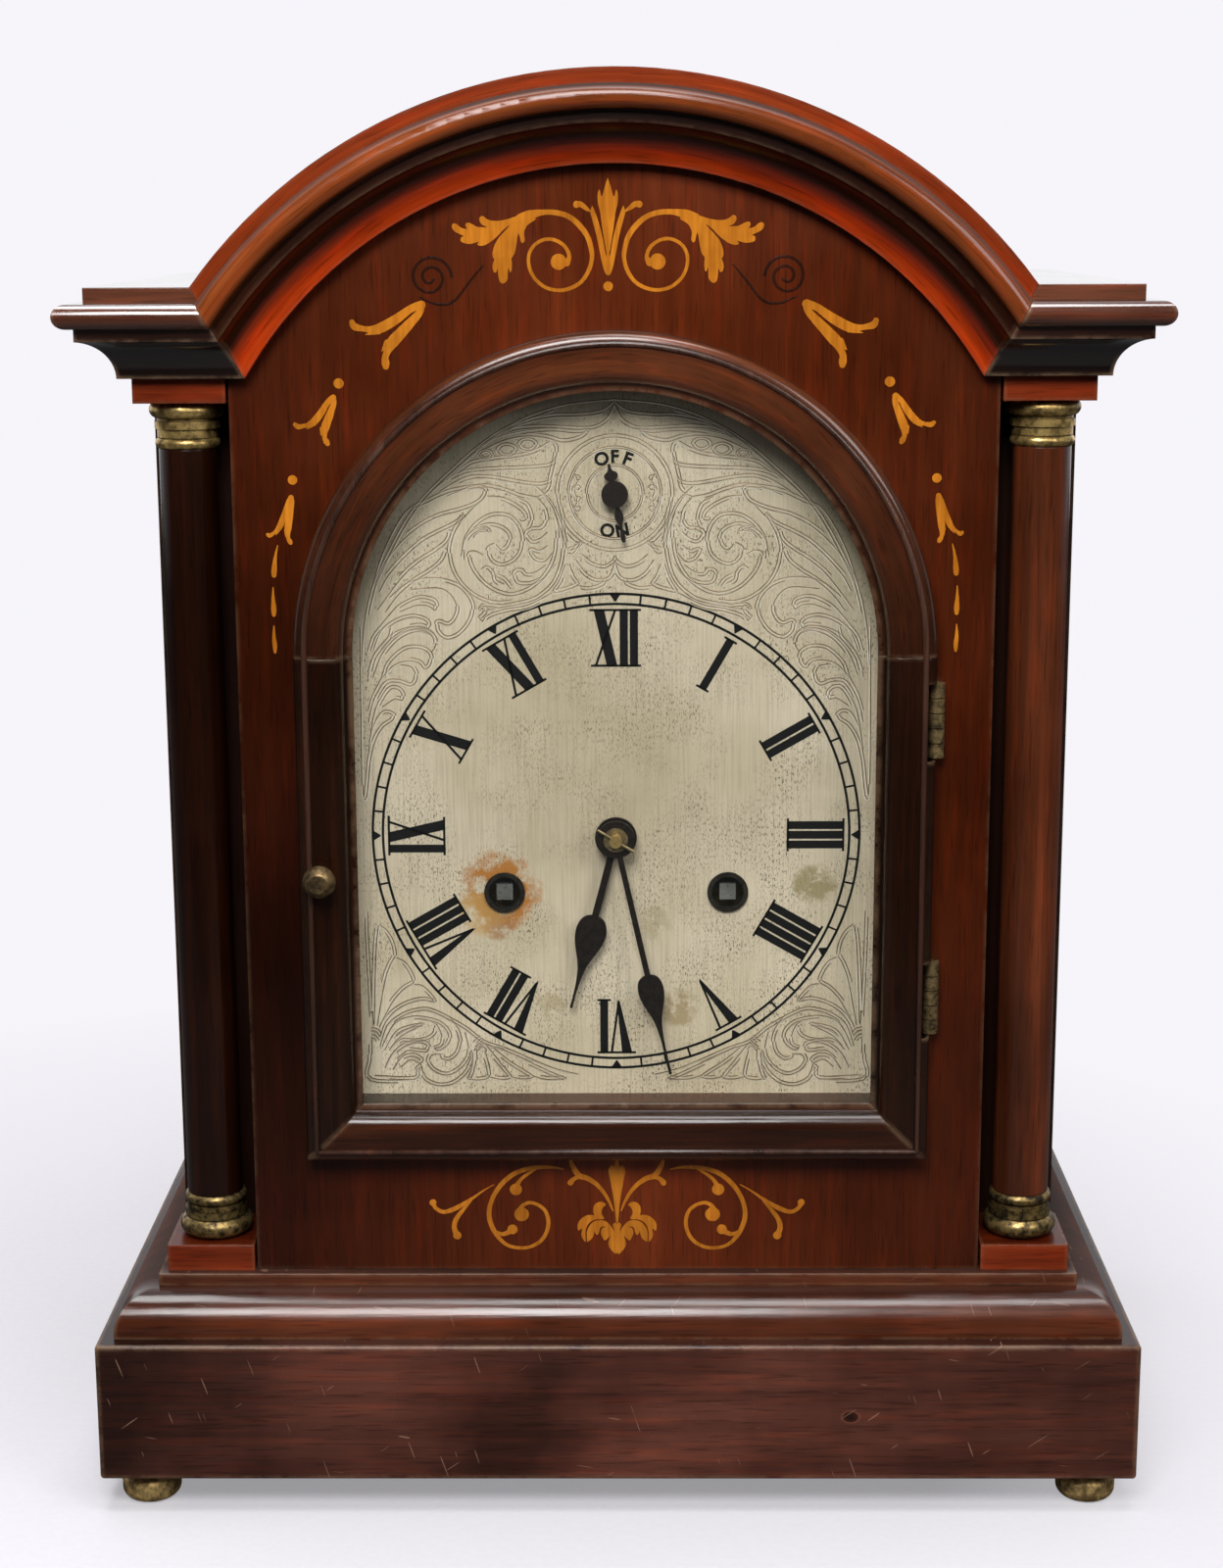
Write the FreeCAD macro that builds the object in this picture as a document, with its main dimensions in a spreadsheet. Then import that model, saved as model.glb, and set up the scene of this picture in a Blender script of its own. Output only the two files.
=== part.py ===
import FreeCAD, Part
import math
import os
import re

import Sketcher

# An arched mahogany shelf clock. Millimetres, +Z up, the dial faces -Y,
# the origin lies under the middle of the clock on the surface it stands on.

doc = FreeCAD.newDocument("ShelfClock")
sheet = doc.addObject("Spreadsheet::Sheet", "Sizes")
V = FreeCAD.Vector

SIZES = [
    # base
    ("plinth_reach", 20.2), ("plinth_depth", 206.6), ("plinth_height", 44.3), ("plinth_round", 1.2),
    ("foot_height", 11.0), ("foot_radius", 9.2), ("foot_neck", 6.8), ("foot_bead", 8.6), ("foot_inset", 13.6),
    ("foot_round", 3.2),
    ("plinth_ledge", 5.2), ("ovolo_height", 12.6), ("ovolo_round", 10.6), ("step_height", 3.9),
    ("step_reach", 2.6),
    # case
    ("column_room", 27.9), ("dial_headroom", 140.3), ("panel_reach", 21.6), ("panel_width", 225.6),
    ("panel_thickness", 12.0), ("back_setback", 9.0), ("post_thickness", 10.0),
    ("side_setback", 1.5), ("side_thickness", 10.0), ("back_thickness", 10.0),
    # columns
    ("block_side", 27.2), ("block_height", 8.5), ("block_proud", 1.4), ("frieze_height", 7.4),
    ("shaft_radius", 8.7), ("collar_height", 14.0), ("band_radius", 9.0),
    ("torus_radius", 11.4), ("torus_height", 6.4), ("ring_radius", 9.7), ("ring_height", 3.4),
    ("abacus_radius", 11.2), ("abacus_height", 5.0), ("fine_ring", 2.2), ("ring_groove", 0.8),
    # cornice and roof
    ("cavetto_height", 11.0), ("cavetto_reach", 3.7), ("fillet_height", 3.6), ("fillet_reach", 13.6),
    ("bead_height", 7.1), ("bead_reach", 18.8), ("roof_thickness", 4.6), ("roof_reach", 11.0),
    ("arch_overhang", 8.3), ("arch_rise", 60.5),
    # front door
    ("door_width", 190.8), ("door_thickness", 9.0), ("door_drop", 98.5), ("door_straight", 156.8),
    ("rail_width", 17.4), ("rail_round", 3.0), ("rail_bead", 4.4), ("rail_flat", 7.7), ("sight_edge", 0.9),
    ("rebate_depth", 3.0), ("rebate_width", 3.0), ("glass_thickness", 2.0), ("glass_gap", 0.3),
    ("knob_radius", 5.0), ("knob_length", 8.5), ("knob_shank", 2.6), ("knob_height", 90.4),
    ("knob_inset", 6.9),
    ("hinge_length", 22.8), ("hinge_foot", 51.2), ("hinge_head", 19.7),
    ("knuckle_radius", 2.5), ("hinge_pin_radius", 1.1), ("leaf_thickness", 1.0), ("leaf_width", 11.0),
    ("knuckle_shake", 0.3), ("swing_gap", 0.4), ("notch_gap", 0.6),
    # back door
    ("back_rim", 17.8), ("back_open_low", 22.0), ("back_open_head", 19.2), ("back_door_gap", 1.2),
    ("back_leaf", 0.45), ("back_leaf_width", 7.0), ("back_knob_radius", 5.5), ("back_knob_length", 6.2),
    ("back_knob_inset", 14.0),
    # dial and hands
    ("dial_thickness", 1.6), ("dial_margin", 7.0), ("aperture_gap", 2.0),
    ("pointer_rise", 104.9), ("pointer_boss", 4.0), ("pointer_length", 14.6), ("pointer_tail", 9.2),
    ("pointer_arbor", 1.5), ("pointer_width", 2.6), ("pointer_stem", 1.3), ("pointer_heart", 4.2),
    ("pointer_stand", 2.2),
    ("winding_spread", 68.8), ("winding_drop", 18.0), ("winding_hole", 5.4), ("grommet_radius", 6.3),
    ("grommet_lip", 0.8), ("grommet_bore", 4.9),
    ("hand_thickness", 0.9), ("hour_length", 55.9), ("minute_length", 76.7), ("hand_boss", 6.4),
    ("minute_boss", 5.8),
    ("hour_stand", 3.0), ("minute_stand", 5.6), ("hour_stem", 2.1), ("minute_stem", 1.75),
    ("hour_leaf", 9.4), ("minute_leaf", 7.9),
    ("hand_washer", 3.7), ("washer_thickness", 0.8), ("taper_pin", 0.55), ("taper_pin_length", 13.0),
    # movement frame
    ("plate_gap", 11.5), ("plate_thickness", 2.0), ("plate_spacing", 40.0), ("plate_width", 124.0),
    ("plate_low", 62.0), ("plate_high", 84.0), ("pillar_radius", 4.0), ("pillar_inset", 7.0),
    ("seat_thickness", 10.0), ("seat_depth", 52.0),
    ("running_fit", 0.05), ("end_shake", 0.3), ("centre_arbor", 1.9), ("train_arbor", 1.3),
    ("pivot_radius", 0.8), ("wheel_hub", 5.0), ("wheel_spoke", 2.9),
    ("wheel_thickness", 2.2), ("pinion_length", 6.0),
    ("barrel_radius", 22.0), ("barrel_length", 23.0), ("winding_square", 5.0), ("winding_arbor", 3.4),
    # places of the arbors, from the dial centre
    ("third_left", 14.4), ("third_up", 24.9), ("escape_up", 43.8), ("anchor_up", 64.8),
    ("pin_right", 40.0), ("pin_up", 20.0), ("warn_right", 28.0), ("warn_up", 38.4), ("fly_right", 36.0),
    ("fly_up", 53.4), ("stud_right", 10.6), ("stud_drop", 10.6),
    # depths of the wheels, from the front plate
    ("great_place", 2.0), ("centre_place", 31.5), ("third_place", 24.0), ("escape_place", 33.0),
    ("strike_place", 35.0), ("pin_place", 2.0), ("warn_place", 16.0), ("fly_place", 20.0),
    # escapement, fly and motion work
    ("escape_radius", 14.0), ("escape_depth", 3.2), ("escape_thickness", 1.5), ("pallet_gap", 1.2),
    ("pallet_width", 3.0),
    ("fly_radius", 10.5), ("fly_width", 11.0), ("cannon_radius", 2.5), ("pipe_wall", 1.1),
    ("stud_radius", 1.4), ("stud_length", 9.2), ("hour_wheel_thickness", 1.5),
    # pendulum
    ("pendulum_length", 160.0), ("rod_radius", 1.2), ("bob_radius", 18.0), ("bob_thickness", 8.0),
    ("bob_clearance", 20.7),
    ("eye_radius", 3.4), ("eye_thickness", 3.0), ("nut_radius", 3.6), ("nut_height", 3.0),
    ("pendulum_stand", 13.0), ("crutch_gap", 2.0), ("crutch_thickness", 1.5), ("cock_radius", 3.0),
    # gong and hammers
    ("gong_radius", 1.5), ("gong_spacing", 9.0), ("gong_length", 168.0), ("gong_up", 40.0),
    ("gong_inset", 22.0),
    ("gong_block_width", 26.0), ("gong_block_depth", 30.0), ("gong_block_height", 48.0), ("gong_stand", 30.0),
    ("hammer_rise", 9.1), ("hammer_head", 3.2), ("hammer_arm", 1.3), ("hammer_arbor", 1.9),
    ("hammer_gap", 0.8), ("hammer_stand", 5.0), ("hammer_left", 24.0), ("hammer_span", 28.0),
    ("cut_overrun", 2.0),
]
WORDS = dict(SIZES)
for row, (word, size) in enumerate(SIZES, start=1):
    sheet.set(f"A{row}", word.replace("_", " "))
    sheet.set(f"B{row}", str(size))
    sheet.setAlias(f"B{row}", word)
doc.recompute()

# Lengths worked out from the sheet, each a text in the sheet's words.
DERIVED = {
    "case_width": "panel_width + 2 * column_room",
    "plinth_width": "case_width + 2 * plinth_reach",
    "arch_span": "panel_width + 2 * arch_overhang",
    "dial_rise": "pendulum_length + bob_radius + nut_height + bob_clearance - anchor_up",
    "door_rise": "dial_rise - door_drop",
    "case_height": "dial_rise + dial_headroom",
    "back_open_width": "panel_width - 2 * back_rim",
    "back_open_height": "case_height - back_open_low - back_open_head",
    "front_y": "panel_reach - plinth_depth / 2",
    "back_y": "plinth_depth / 2 - back_setback",
    "plinth_z": "foot_height + plinth_height",
    "floor_z": "plinth_z + ovolo_height + step_height",
    "cornice_z": "floor_z + case_height",
    "cornice_height": "cavetto_height + fillet_height + bead_height",
    "eaves_z": "cornice_z + cornice_height",
    "wing_z": "eaves_z + roof_thickness",
    "case_half": "case_width / 2",
    "panel_half": "panel_width / 2",
    "side_half": "case_half - side_setback",
    "block_y": "front_y - block_proud",
    "shoulder_y": "block_y + block_side",
    "column_x": "case_half - block_side / 2",
    "column_y": "block_y + block_side / 2",
    "column_low": "floor_z + block_height",
    "column_high": "cornice_z - frieze_height",
    "arch_radius": "(arch_span * arch_span / 4 + arch_rise * arch_rise) / (2 * arch_rise)",
    "arch_z": "wing_z + arch_rise - arch_radius",
    "roof_inner": "arch_radius - roof_thickness",
    "mitre_low": "sqrt((roof_inner - cornice_height)^2 - (cornice_z - arch_z)^2)",
    "mitre_slope": "(arch_span / 2 - mitre_low) / (cornice_height + roof_thickness)",
}


def linked(text):
    """The text as an expression of the sheet's cells."""
    def swap(match):
        word = match.group(0)
        if word in WORDS:
            return "Sizes." + word
        if word in DERIVED:
            return "(" + linked(DERIVED[word]) + ")"
        return word
    return re.sub(r"[a-z][a-z_]*", swap, text)


def value(text):
    """The text's length in millimetres."""
    return float(sheet.evalExpression(linked(text)))


def bind(thing, **texts):
    for name, text in texts.items():
        thing.setExpression(name, linked(text))
    return thing


def place(thing, x="0", y="0", z="0"):
    for axis, text in zip("xyz", (x, y, z)):
        thing.setExpression("Placement.Base." + axis, linked(text))
    return thing


def box(name, x, y, z):
    """A box between two corners: x, y and z are each a low and a high text."""
    piece = doc.addObject("Part::Box", name)
    bind(piece, Length=f"({x[1]}) - ({x[0]})", Width=f"({y[1]}) - ({y[0]})", Height=f"({z[1]}) - ({z[0]})")
    return place(piece, x[0], y[0], z[0])


TURNS = {
    "x": FreeCAD.Rotation(V(0, 1, 0), 90),
    "y": FreeCAD.Rotation(V(1, 0, 0), -90),
    "z": FreeCAD.Rotation(),
}


def rod(name, along, start, radius, length):
    """A round rod from a start point along one axis."""
    piece = doc.addObject("Part::Cylinder", name)
    bind(piece, Radius=radius, Height=length)
    piece.Placement.Rotation = TURNS[along]
    return place(piece, *start)


def joined(name, *pieces):
    whole = doc.addObject("Part::MultiFuse", name)
    whole.Shapes = list(pieces)
    return whole


def less(name, piece, *tools):
    whole = doc.addObject("Part::Cut", name)
    whole.Base = piece
    whole.Tool = tools[0] if len(tools) == 1 else joined(name + "_tools", *tools)
    return whole


def shared(name, *pieces):
    whole = doc.addObject("Part::MultiCommon", name)
    whole.Shapes = list(pieces)
    return whole


def mirrored(name, piece):
    """The piece's twin on the other side of the clock."""
    twin = doc.addObject("Part::Mirroring", name)
    twin.Source = piece
    twin.Base = V(0, 0, 0)
    twin.Normal = V(1, 0, 0)
    return twin


def grouped(name, *pieces):
    whole = doc.addObject("Part::Compound", name)
    whole.Links = list(pieces)
    return whole


NODES = []


def node(label, piece):
    """Marks a finished sub-part, whose label names its file."""
    piece.Label = label
    NODES.append(piece)
    return piece


def made(name, shape):
    """A sub-part whose shape no feature gives."""
    piece = doc.addObject("Part::Feature", name)
    piece.Shape = shape
    return piece


def plane_of(body, role):
    return next(feature for feature in body.Origin.OriginFeatures if feature.Role == role)


def outline(body, name, role, *loops):
    """A sketch of closed loops on one of the body's planes.

    A loop is a list of corners (across, up), where (across, up, radius, turn) is reached by an arc,
    turning left for +1 and right for -1, or it is one circle (across, up, radius).
    """
    sketch = body.newObject("Sketcher::SketchObject", name)
    sketch.AttachmentSupport = [(plane_of(body, role), "")]
    sketch.MapMode = "FlatFace"
    up = V(0, 0, 1)

    def fix(kind, text, *where):
        index = sketch.addConstraint(Sketcher.Constraint(kind, *where, value(text)))
        sketch.setExpression(f"Constraints[{index}]", linked(text))

    for loop in loops:
        if len(loop) == 1:
            across, high, radius = loop[0]
            circle = sketch.addGeometry(Part.Circle(V(value(across), value(high), 0), up, value(radius)))
            fix("Radius", radius, circle)
            fix("DistanceX", across, -1, 1, circle, 3)
            fix("DistanceY", high, -1, 1, circle, 3)
            continue
        spots = [V(value(corner[0]), value(corner[1]), 0) for corner in loop]
        ends = []
        for index, corner in enumerate(loop):
            start, stop = spots[index - 1], spots[index]
            if len(corner) == 2:
                ends.append((sketch.addGeometry(Part.LineSegment(start, stop)), 1, 2))
                continue
            radius, turn = value(corner[2]), corner[3]
            half = (stop - start) * 0.5
            rise = math.sqrt(max(radius * radius - half.Length * half.Length, 0.0))
            normal = V(-half.y, half.x, 0).normalize()
            centre = start + half + normal * (rise * turn)
            first, last = (start, stop) if turn > 0 else (stop, start)
            angles = [math.atan2(spot.y - centre.y, spot.x - centre.x) for spot in (first, last)]
            if angles[1] < angles[0]:
                angles[1] += 2 * math.pi
            arc = sketch.addGeometry(Part.ArcOfCircle(Part.Circle(centre, up, radius), *angles))
            ends.append((arc, 1, 2) if turn > 0 else (arc, 2, 1))
        for index, corner in enumerate(loop):
            edge, _, stop = ends[index]
            after, start, _ = ends[(index + 1) % len(loop)]
            sketch.addConstraint(Sketcher.Constraint("Coincident", edge, stop, after, start))
        for index, corner in enumerate(loop):
            edge, _, stop = ends[index]
            fix("DistanceX", corner[0], -1, 1, edge, stop)
            fix("DistanceY", corner[1], -1, 1, edge, stop)
            if len(corner) > 2:
                fix("Radius", corner[2], edge)
    return sketch


def padded(name, role, length, *loops, reverse=False):
    """A body of one padded sketch."""
    body = doc.addObject("PartDesign::Body", name)
    sketch = outline(body, name + "_outline", role, *loops)
    pad = body.newObject("PartDesign::Pad", name + "_pad")
    pad.Profile = sketch
    pad.setExpression("Length", linked(length))
    pad.Reversed = reverse
    sketch.Visibility = False
    return body


def board(name, y, *loops):
    """An upright board between two depths, drawn from the front."""
    body = padded(name, "XZ_Plane", f"({y[1]}) - ({y[0]})", *loops)
    return place(body, "0", y[1], "0")


def turned(name, *corners):
    """A body turned about its own upright axis, drawn as half its section."""
    body = doc.addObject("PartDesign::Body", name)
    sketch = outline(body, name + "_outline", "XZ_Plane", list(corners))
    turn = body.newObject("PartDesign::Revolution", name + "_turn")
    turn.Profile = sketch
    turn.ReferenceAxis = (sketch, ["V_Axis"])
    turn.Angle = 360.0
    return body


def copied(name, piece, x="0", y="0", z="0"):
    """The piece again, moved."""
    twin = doc.addObject("Part::Compound", name)
    twin.Links = [piece]
    return place(twin, x, y, z)


# Base: four turned brass feet, a plinth, an ovolo moulding and a thin step.
plinth_half = "plinth_width / 2"
depth_half = "plinth_depth / 2"
foot = turned(
    "foot",
    ("0", "0"), ("foot_radius - foot_round", "0"), ("foot_radius", "foot_round", "foot_round", 1),
    ("foot_radius", "foot_bead - foot_round"),
    ("foot_radius - foot_round", "foot_bead", "foot_round", 1),
    ("foot_neck", "foot_bead"), ("foot_neck", "foot_height"), ("0", "foot_height"),
)
feet = []
for side in ("-1", "1"):
    for end in ("-1", "1"):
        feet.append(copied(
            f"foot_copy_{len(feet)}", foot,
            f"{side} * ({plinth_half} - foot_inset)", f"{end} * ({depth_half} - foot_inset)"))
node("base_feet", grouped("base_feet", *feet))

plinth = padded(
    "base_plinth", "XY_Plane", "plinth_height",
    [(f"-1 * {plinth_half}", f"-1 * {depth_half}"), (plinth_half, f"-1 * {depth_half}"),
     (plinth_half, depth_half), (f"-1 * {plinth_half}", depth_half)])
place(plinth, z="foot_height")
doc.recompute()


def rounded(body, name, radius, wanted):
    """Rounds the body's edges whose middle the test accepts."""
    doc.recompute()
    base = body.Tip
    names = []
    for index, edge in enumerate(base.Shape.Edges, start=1):
        if wanted(edge.CenterOfMass):
            names.append(f"Edge{index}")
    fillet = body.newObject("PartDesign::Fillet", name)
    fillet.Base = (base, names)
    fillet.setExpression("Radius", linked(radius))
    return body


rounded(plinth, "plinth_edges", "plinth_round",
        lambda spot: spot.y < value(f"{depth_half} - plinth_round"))
node("base_plinth", plinth)

ovolo_half = f"{plinth_half} - plinth_ledge"
ovolo_front = f"plinth_ledge - {depth_half}"
ovolo = padded(
    "base_moulding", "XY_Plane", "ovolo_height",
    [(f"-1 * ({ovolo_half})", ovolo_front), (ovolo_half, ovolo_front),
     (ovolo_half, "back_y"), (f"-1 * ({ovolo_half})", "back_y")])
place(ovolo, z="plinth_z")
rounded(ovolo, "ovolo_round_edges", "ovolo_round",
        lambda spot: spot.z > value("ovolo_height / 2") and spot.y < value("back_y - plinth_ledge"))
node("base_moulding", ovolo)

step_half = "case_half + step_reach"
node("base_top", box(
    "base_top", (f"-1 * ({step_half})", step_half), ("block_y - step_reach", "back_y"),
    ("floor_z - step_height", "floor_z")))

# Columns: a block, a turned brass base, a turned shaft, a brass capital and a frieze block on each side.
block_x = ("case_half - block_side", "case_half")
block_span = ("block_y", "shoulder_y")


def pair(label, right):
    """A right piece and its twin as one group."""
    return node(label, grouped(label, right, mirrored(label + "_left", right)))


pair("column_blocks", box("column_block", block_x, block_span, ("floor_z", "column_low")))
pair("frieze_blocks", box("frieze_block", block_x, block_span, ("column_high", "cornice_z")))

column_base = turned(
    "column_base",
    ("0", "0"), ("torus_radius - torus_height / 2", "0"),
    ("torus_radius", "torus_height / 2", "torus_height / 2", 1),
    ("torus_radius - torus_height / 2", "torus_height", "torus_height / 2", 1),
    ("ring_radius", "torus_height"), ("ring_radius", "torus_height + fine_ring"),
    ("band_radius", "torus_height + fine_ring"), ("band_radius", "collar_height - ring_height"),
    ("ring_radius - ring_height / 2", "collar_height - ring_height"),
    ("ring_radius", "collar_height - ring_height / 2", "ring_height / 2", 1),
    ("ring_radius - ring_height / 2", "collar_height", "ring_height / 2", 1),
    ("0", "collar_height"),
)
pair("column_bases", copied("column_base_right", column_base, "column_x", "column_y", "column_low"))

column_capital = turned(
    "column_capital",
    ("0", "0"), ("ring_radius - ring_height / 2", "0"),
    ("ring_radius", "ring_height / 2", "ring_height / 2", 1),
    ("ring_radius - ring_height / 2", "ring_height", "ring_height / 2", 1),
    ("band_radius", "ring_height"),
    ("band_radius", "collar_height - abacus_height - ring_groove - fine_ring"),
    ("ring_radius", "collar_height - abacus_height - ring_groove - fine_ring"),
    ("ring_radius", "collar_height - abacus_height - ring_groove"),
    ("band_radius", "collar_height - abacus_height - ring_groove"),
    ("band_radius", "collar_height - abacus_height"),
    ("abacus_radius - abacus_height / 2", "collar_height - abacus_height"),
    ("abacus_radius", "collar_height - abacus_height / 2", "abacus_height / 2", 1),
    ("abacus_radius - abacus_height / 2", "collar_height", "abacus_height / 2", 1),
    ("0", "collar_height"),
)
pair("column_capitals", copied(
    "column_capital_right", column_capital, "column_x", "column_y", "column_high - collar_height"))
pair("column_shafts", rod(
    "column_shaft", "z", ("column_x", "column_y", "column_low + collar_height"), "shaft_radius",
    "column_high - column_low - 2 * collar_height"))

# Case: the front board with its arched dial opening, corner posts behind the columns, sides and back.
dial_z = "floor_z + dial_rise"
door_half = "door_width / 2"
door_z = "floor_z + door_rise"
spring_z = f"{door_z} + door_straight"
sight_half = f"{door_half} - rail_width"
open_half = f"{sight_half} + aperture_gap"
open_low = f"{door_z} + rail_width - aperture_gap"


def arched(half, low, spring):
    """An arched outline: straight sides and a half-round head in two quarter arcs."""
    return [(f"-1 * ({half})", low), (half, low), (half, spring),
            ("0", f"{spring} + {half}", half, 1), (f"-1 * ({half})", spring, half, 1)]


panel_top = "arch_z + sqrt(roof_inner^2 - panel_half^2)"
front_panel = board(
    "front_board", ("front_y", "front_y + panel_thickness"),
    [("-1 * panel_half", "floor_z"), ("panel_half", "floor_z"), ("panel_half", panel_top),
     ("0", "arch_z + roof_inner", "roof_inner", 1), ("-1 * panel_half", panel_top, "roof_inner", 1)],
    arched(open_half, open_low, spring_z))

post_in = "panel_half - post_thickness"
post_low = "front_y + panel_thickness"
post = padded(
    "corner_post", "XY_Plane", "eaves_z - floor_z",
    [(post_in, post_low), ("panel_half", post_low), ("panel_half", "shoulder_y"), ("side_half", "shoulder_y"),
     ("side_half", "shoulder_y + post_thickness"), (post_in, "shoulder_y + post_thickness")])
place(post, z="floor_z")
node("corner_post_right", post)
node("corner_post_left", mirrored("corner_post_left", post))

side = box("side_panel", ("side_half - side_thickness", "side_half"),
           ("shoulder_y + post_thickness", "back_y"), ("floor_z", "eaves_z"))
node("side_panel_right", side)
node("side_panel_left", mirrored("side_panel_left", side))

back_half = "side_half - side_thickness"
back_top = "mitre_low + mitre_slope * cornice_height"
back_top_z = f"arch_z + sqrt(roof_inner^2 - ({back_top})^2)"
back_open_half = "back_open_width / 2"
back_low = "floor_z + back_open_low"
back_high = "floor_z + back_open_low + back_open_height"
back_frame = board(
    "back_frame", ("back_y - back_thickness", "back_y"),
    [(f"-1 * ({back_half})", "floor_z"), (back_half, "floor_z"), (back_half, "eaves_z"),
     (back_top, "eaves_z"), (back_top, back_top_z), ("0", "arch_z + roof_inner", "roof_inner", 1),
     (f"-1 * ({back_top})", back_top_z, "roof_inner", 1), (f"-1 * ({back_top})", "eaves_z"),
     (f"-1 * ({back_half})", "eaves_z")],
    [(f"-1 * {back_open_half}", back_low), (back_open_half, back_low),
     (back_open_half, back_high), (f"-1 * {back_open_half}", back_high)])
node("back_frame", back_frame)

# Roof and cornice: one profile runs round the wings and over the arch, cut at the same mitre.
fan_low = "mitre_low - mitre_slope * cut_overrun"
fan_high = "arch_span / 2 + mitre_slope * cut_overrun"
fan_y = ("-1 * plinth_depth", "plinth_depth")


def fan(name):
    """The room between the two mitres, right through the clock."""
    return board(
        name, fan_y,
        [(f"-1 * ({fan_low})", "cornice_z - cut_overrun"), (fan_low, "cornice_z - cut_overrun"),
         (fan_high, "wing_z + cut_overrun"), (fan_high, "wing_z + arch_span"),
         (f"-1 * ({fan_high})", "wing_z + arch_span"), (f"-1 * ({fan_high})", "wing_z + cut_overrun")])


def cornice(across, up, back, turn):
    """The cornice section: bead, fillet and cavetto, from its top downwards."""
    nose = "bead_reach - bead_height / 2"
    return [
        (back, up("0")), (back, up("cornice_height")), (across("cavetto_reach"), up("cornice_height")),
        (across("fillet_reach"), up("bead_height + fillet_height"), "cavetto_height", -turn),
        (across("fillet_reach"), up("bead_height")), (across(nose), up("bead_height")),
        (across("bead_reach"), up("bead_height / 2"), "bead_height / 2", turn),
        (across(nose), up("0"), "bead_height / 2", turn)]


def ahead(reach):
    return f"block_y - ({reach})"


def beside(reach):
    return f"case_half + ({reach})"


def below_eaves(drop):
    return f"eaves_z - ({drop})"


def inside_roof(drop):
    return f"roof_inner - ({drop})"


arch_body = doc.addObject("PartDesign::Body", "arch_section")
arch_sketch = outline(
    arch_body, "arch_section_outline", "YZ_Plane", cornice(ahead, inside_roof, "front_y", -1))
arch_turn = arch_body.newObject("PartDesign::Revolution", "arch_section_turn")
arch_turn.Profile = arch_sketch
arch_turn.ReferenceAxis = (arch_sketch, ["H_Axis"])
arch_turn.Angle = 360.0
place(arch_body, z="arch_z")
node("arch_moulding", shared("arch_moulding", arch_body, fan("arch_fan")))

roof_front = "block_y - roof_reach"
roof_depth = f"back_y - ({roof_front})"
roof_ring = less(
    "roof_ring", rod("roof_outside", "y", ("0", roof_front, "arch_z"), "arch_radius", roof_depth),
    rod("roof_inside", "y", ("0", f"{roof_front} - cut_overrun", "arch_z"), "roof_inner",
        f"{roof_depth} + 2 * cut_overrun"))
node("roof_arch", shared("roof_arch", roof_ring, fan("roof_fan")))

wing_board = box(
    "wing_board", ("0", "case_half + roof_reach"), (roof_front, "back_y"), ("eaves_z", "wing_z"))
wing_top = less("wing_top", wing_board, fan("wing_fan"))
node("wing_top_right", wing_top)
node("wing_top_left", mirrored("wing_top_left", wing_top))

front_run = padded("wing_front_run", "YZ_Plane", "case_half + bead_reach",
                   cornice(ahead, below_eaves, "back_y", -1))
side_run = padded("wing_side_run", "XZ_Plane", "back_y - block_y + bead_reach",
                  cornice(beside, below_eaves, "0", 1))
place(side_run, "0", "back_y", "0")
wing = less(
    "wing_moulding", shared("wing_corner", front_run, side_run), fan("wing_moulding_fan"),
    box("wing_case_room", ("0", "side_half"), ("shoulder_y", "back_y + cut_overrun"),
        ("cornice_z - cut_overrun", "eaves_z + cut_overrun")),
    box("wing_panel_room", ("0", "panel_half"), ("front_y", "shoulder_y"),
        ("cornice_z - cut_overrun", "eaves_z + cut_overrun")))
node("wing_moulding_right", wing)
node("wing_moulding_left", mirrored("wing_moulding_left", wing))

# Front door: an arched frame of four mitred pieces, glass, a turned knob and two butt hinges.
door_y = "front_y - door_thickness"
door_top = f"{spring_z} + {door_half}"
hinge_x = f"{door_half} + swing_gap"
hinge_y = "front_y - knuckle_radius - knuckle_shake"


def rail_section(across, deep, turn):
    """The door frame's section, from its outer back edge over the face to the glass rebate."""
    bead_end = "rail_round + rail_flat + rail_bead"
    return [
        (across("0"), deep("0")), (across("0"), deep("door_thickness - rail_round")),
        (across("rail_round"), deep("door_thickness"), "rail_round", turn),
        (across("rail_round + rail_flat"), deep("door_thickness")),
        (across(bead_end), deep("door_thickness - rail_bead"), "rail_bead", turn),
        (across("rail_width"), deep("rebate_depth + sight_edge")),
        (across("rail_width"), deep("rebate_depth")),
        (across("rail_width - rebate_width"), deep("rebate_depth")),
        (across("rail_width - rebate_width"), deep("0"))]


def swapped(corners):
    """The same corners with across and up changed over."""
    return [(corner[1], corner[0], *corner[2:]) for corner in corners]


def from_right(inward):
    return f"{door_half} - ({inward})"


def from_bottom(inward):
    return f"{door_z} + ({inward})"


def forward(reach):
    return f"front_y - ({reach})"


def rail_fan(name):
    """The bottom rail's room between its two mitres."""
    wide = f"{door_half} + cut_overrun"
    narrow = f"{door_half} - rail_width - cut_overrun"
    low = f"{door_z} - cut_overrun"
    high = f"{door_z} + rail_width + cut_overrun"
    return board(name, (f"{door_y} - cut_overrun", "front_y + cut_overrun"),
                 [(f"-1 * ({wide})", low), (wide, low), (narrow, high), (f"-1 * ({narrow})", high)])


rail_bar = padded("door_rail_bar", "YZ_Plane", "door_width", swapped(rail_section(from_bottom, forward, -1)))
place(rail_bar, f"-1 * {door_half}")
node("door_rail", shared("door_rail", rail_bar, rail_fan("door_rail_fan")))

stile_bar = padded("door_stile_bar", "XY_Plane", "door_straight", rail_section(from_right, forward, -1))
place(stile_bar, z=door_z)
stile = less("door_stile", stile_bar, rail_fan("door_stile_fan"))

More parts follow.
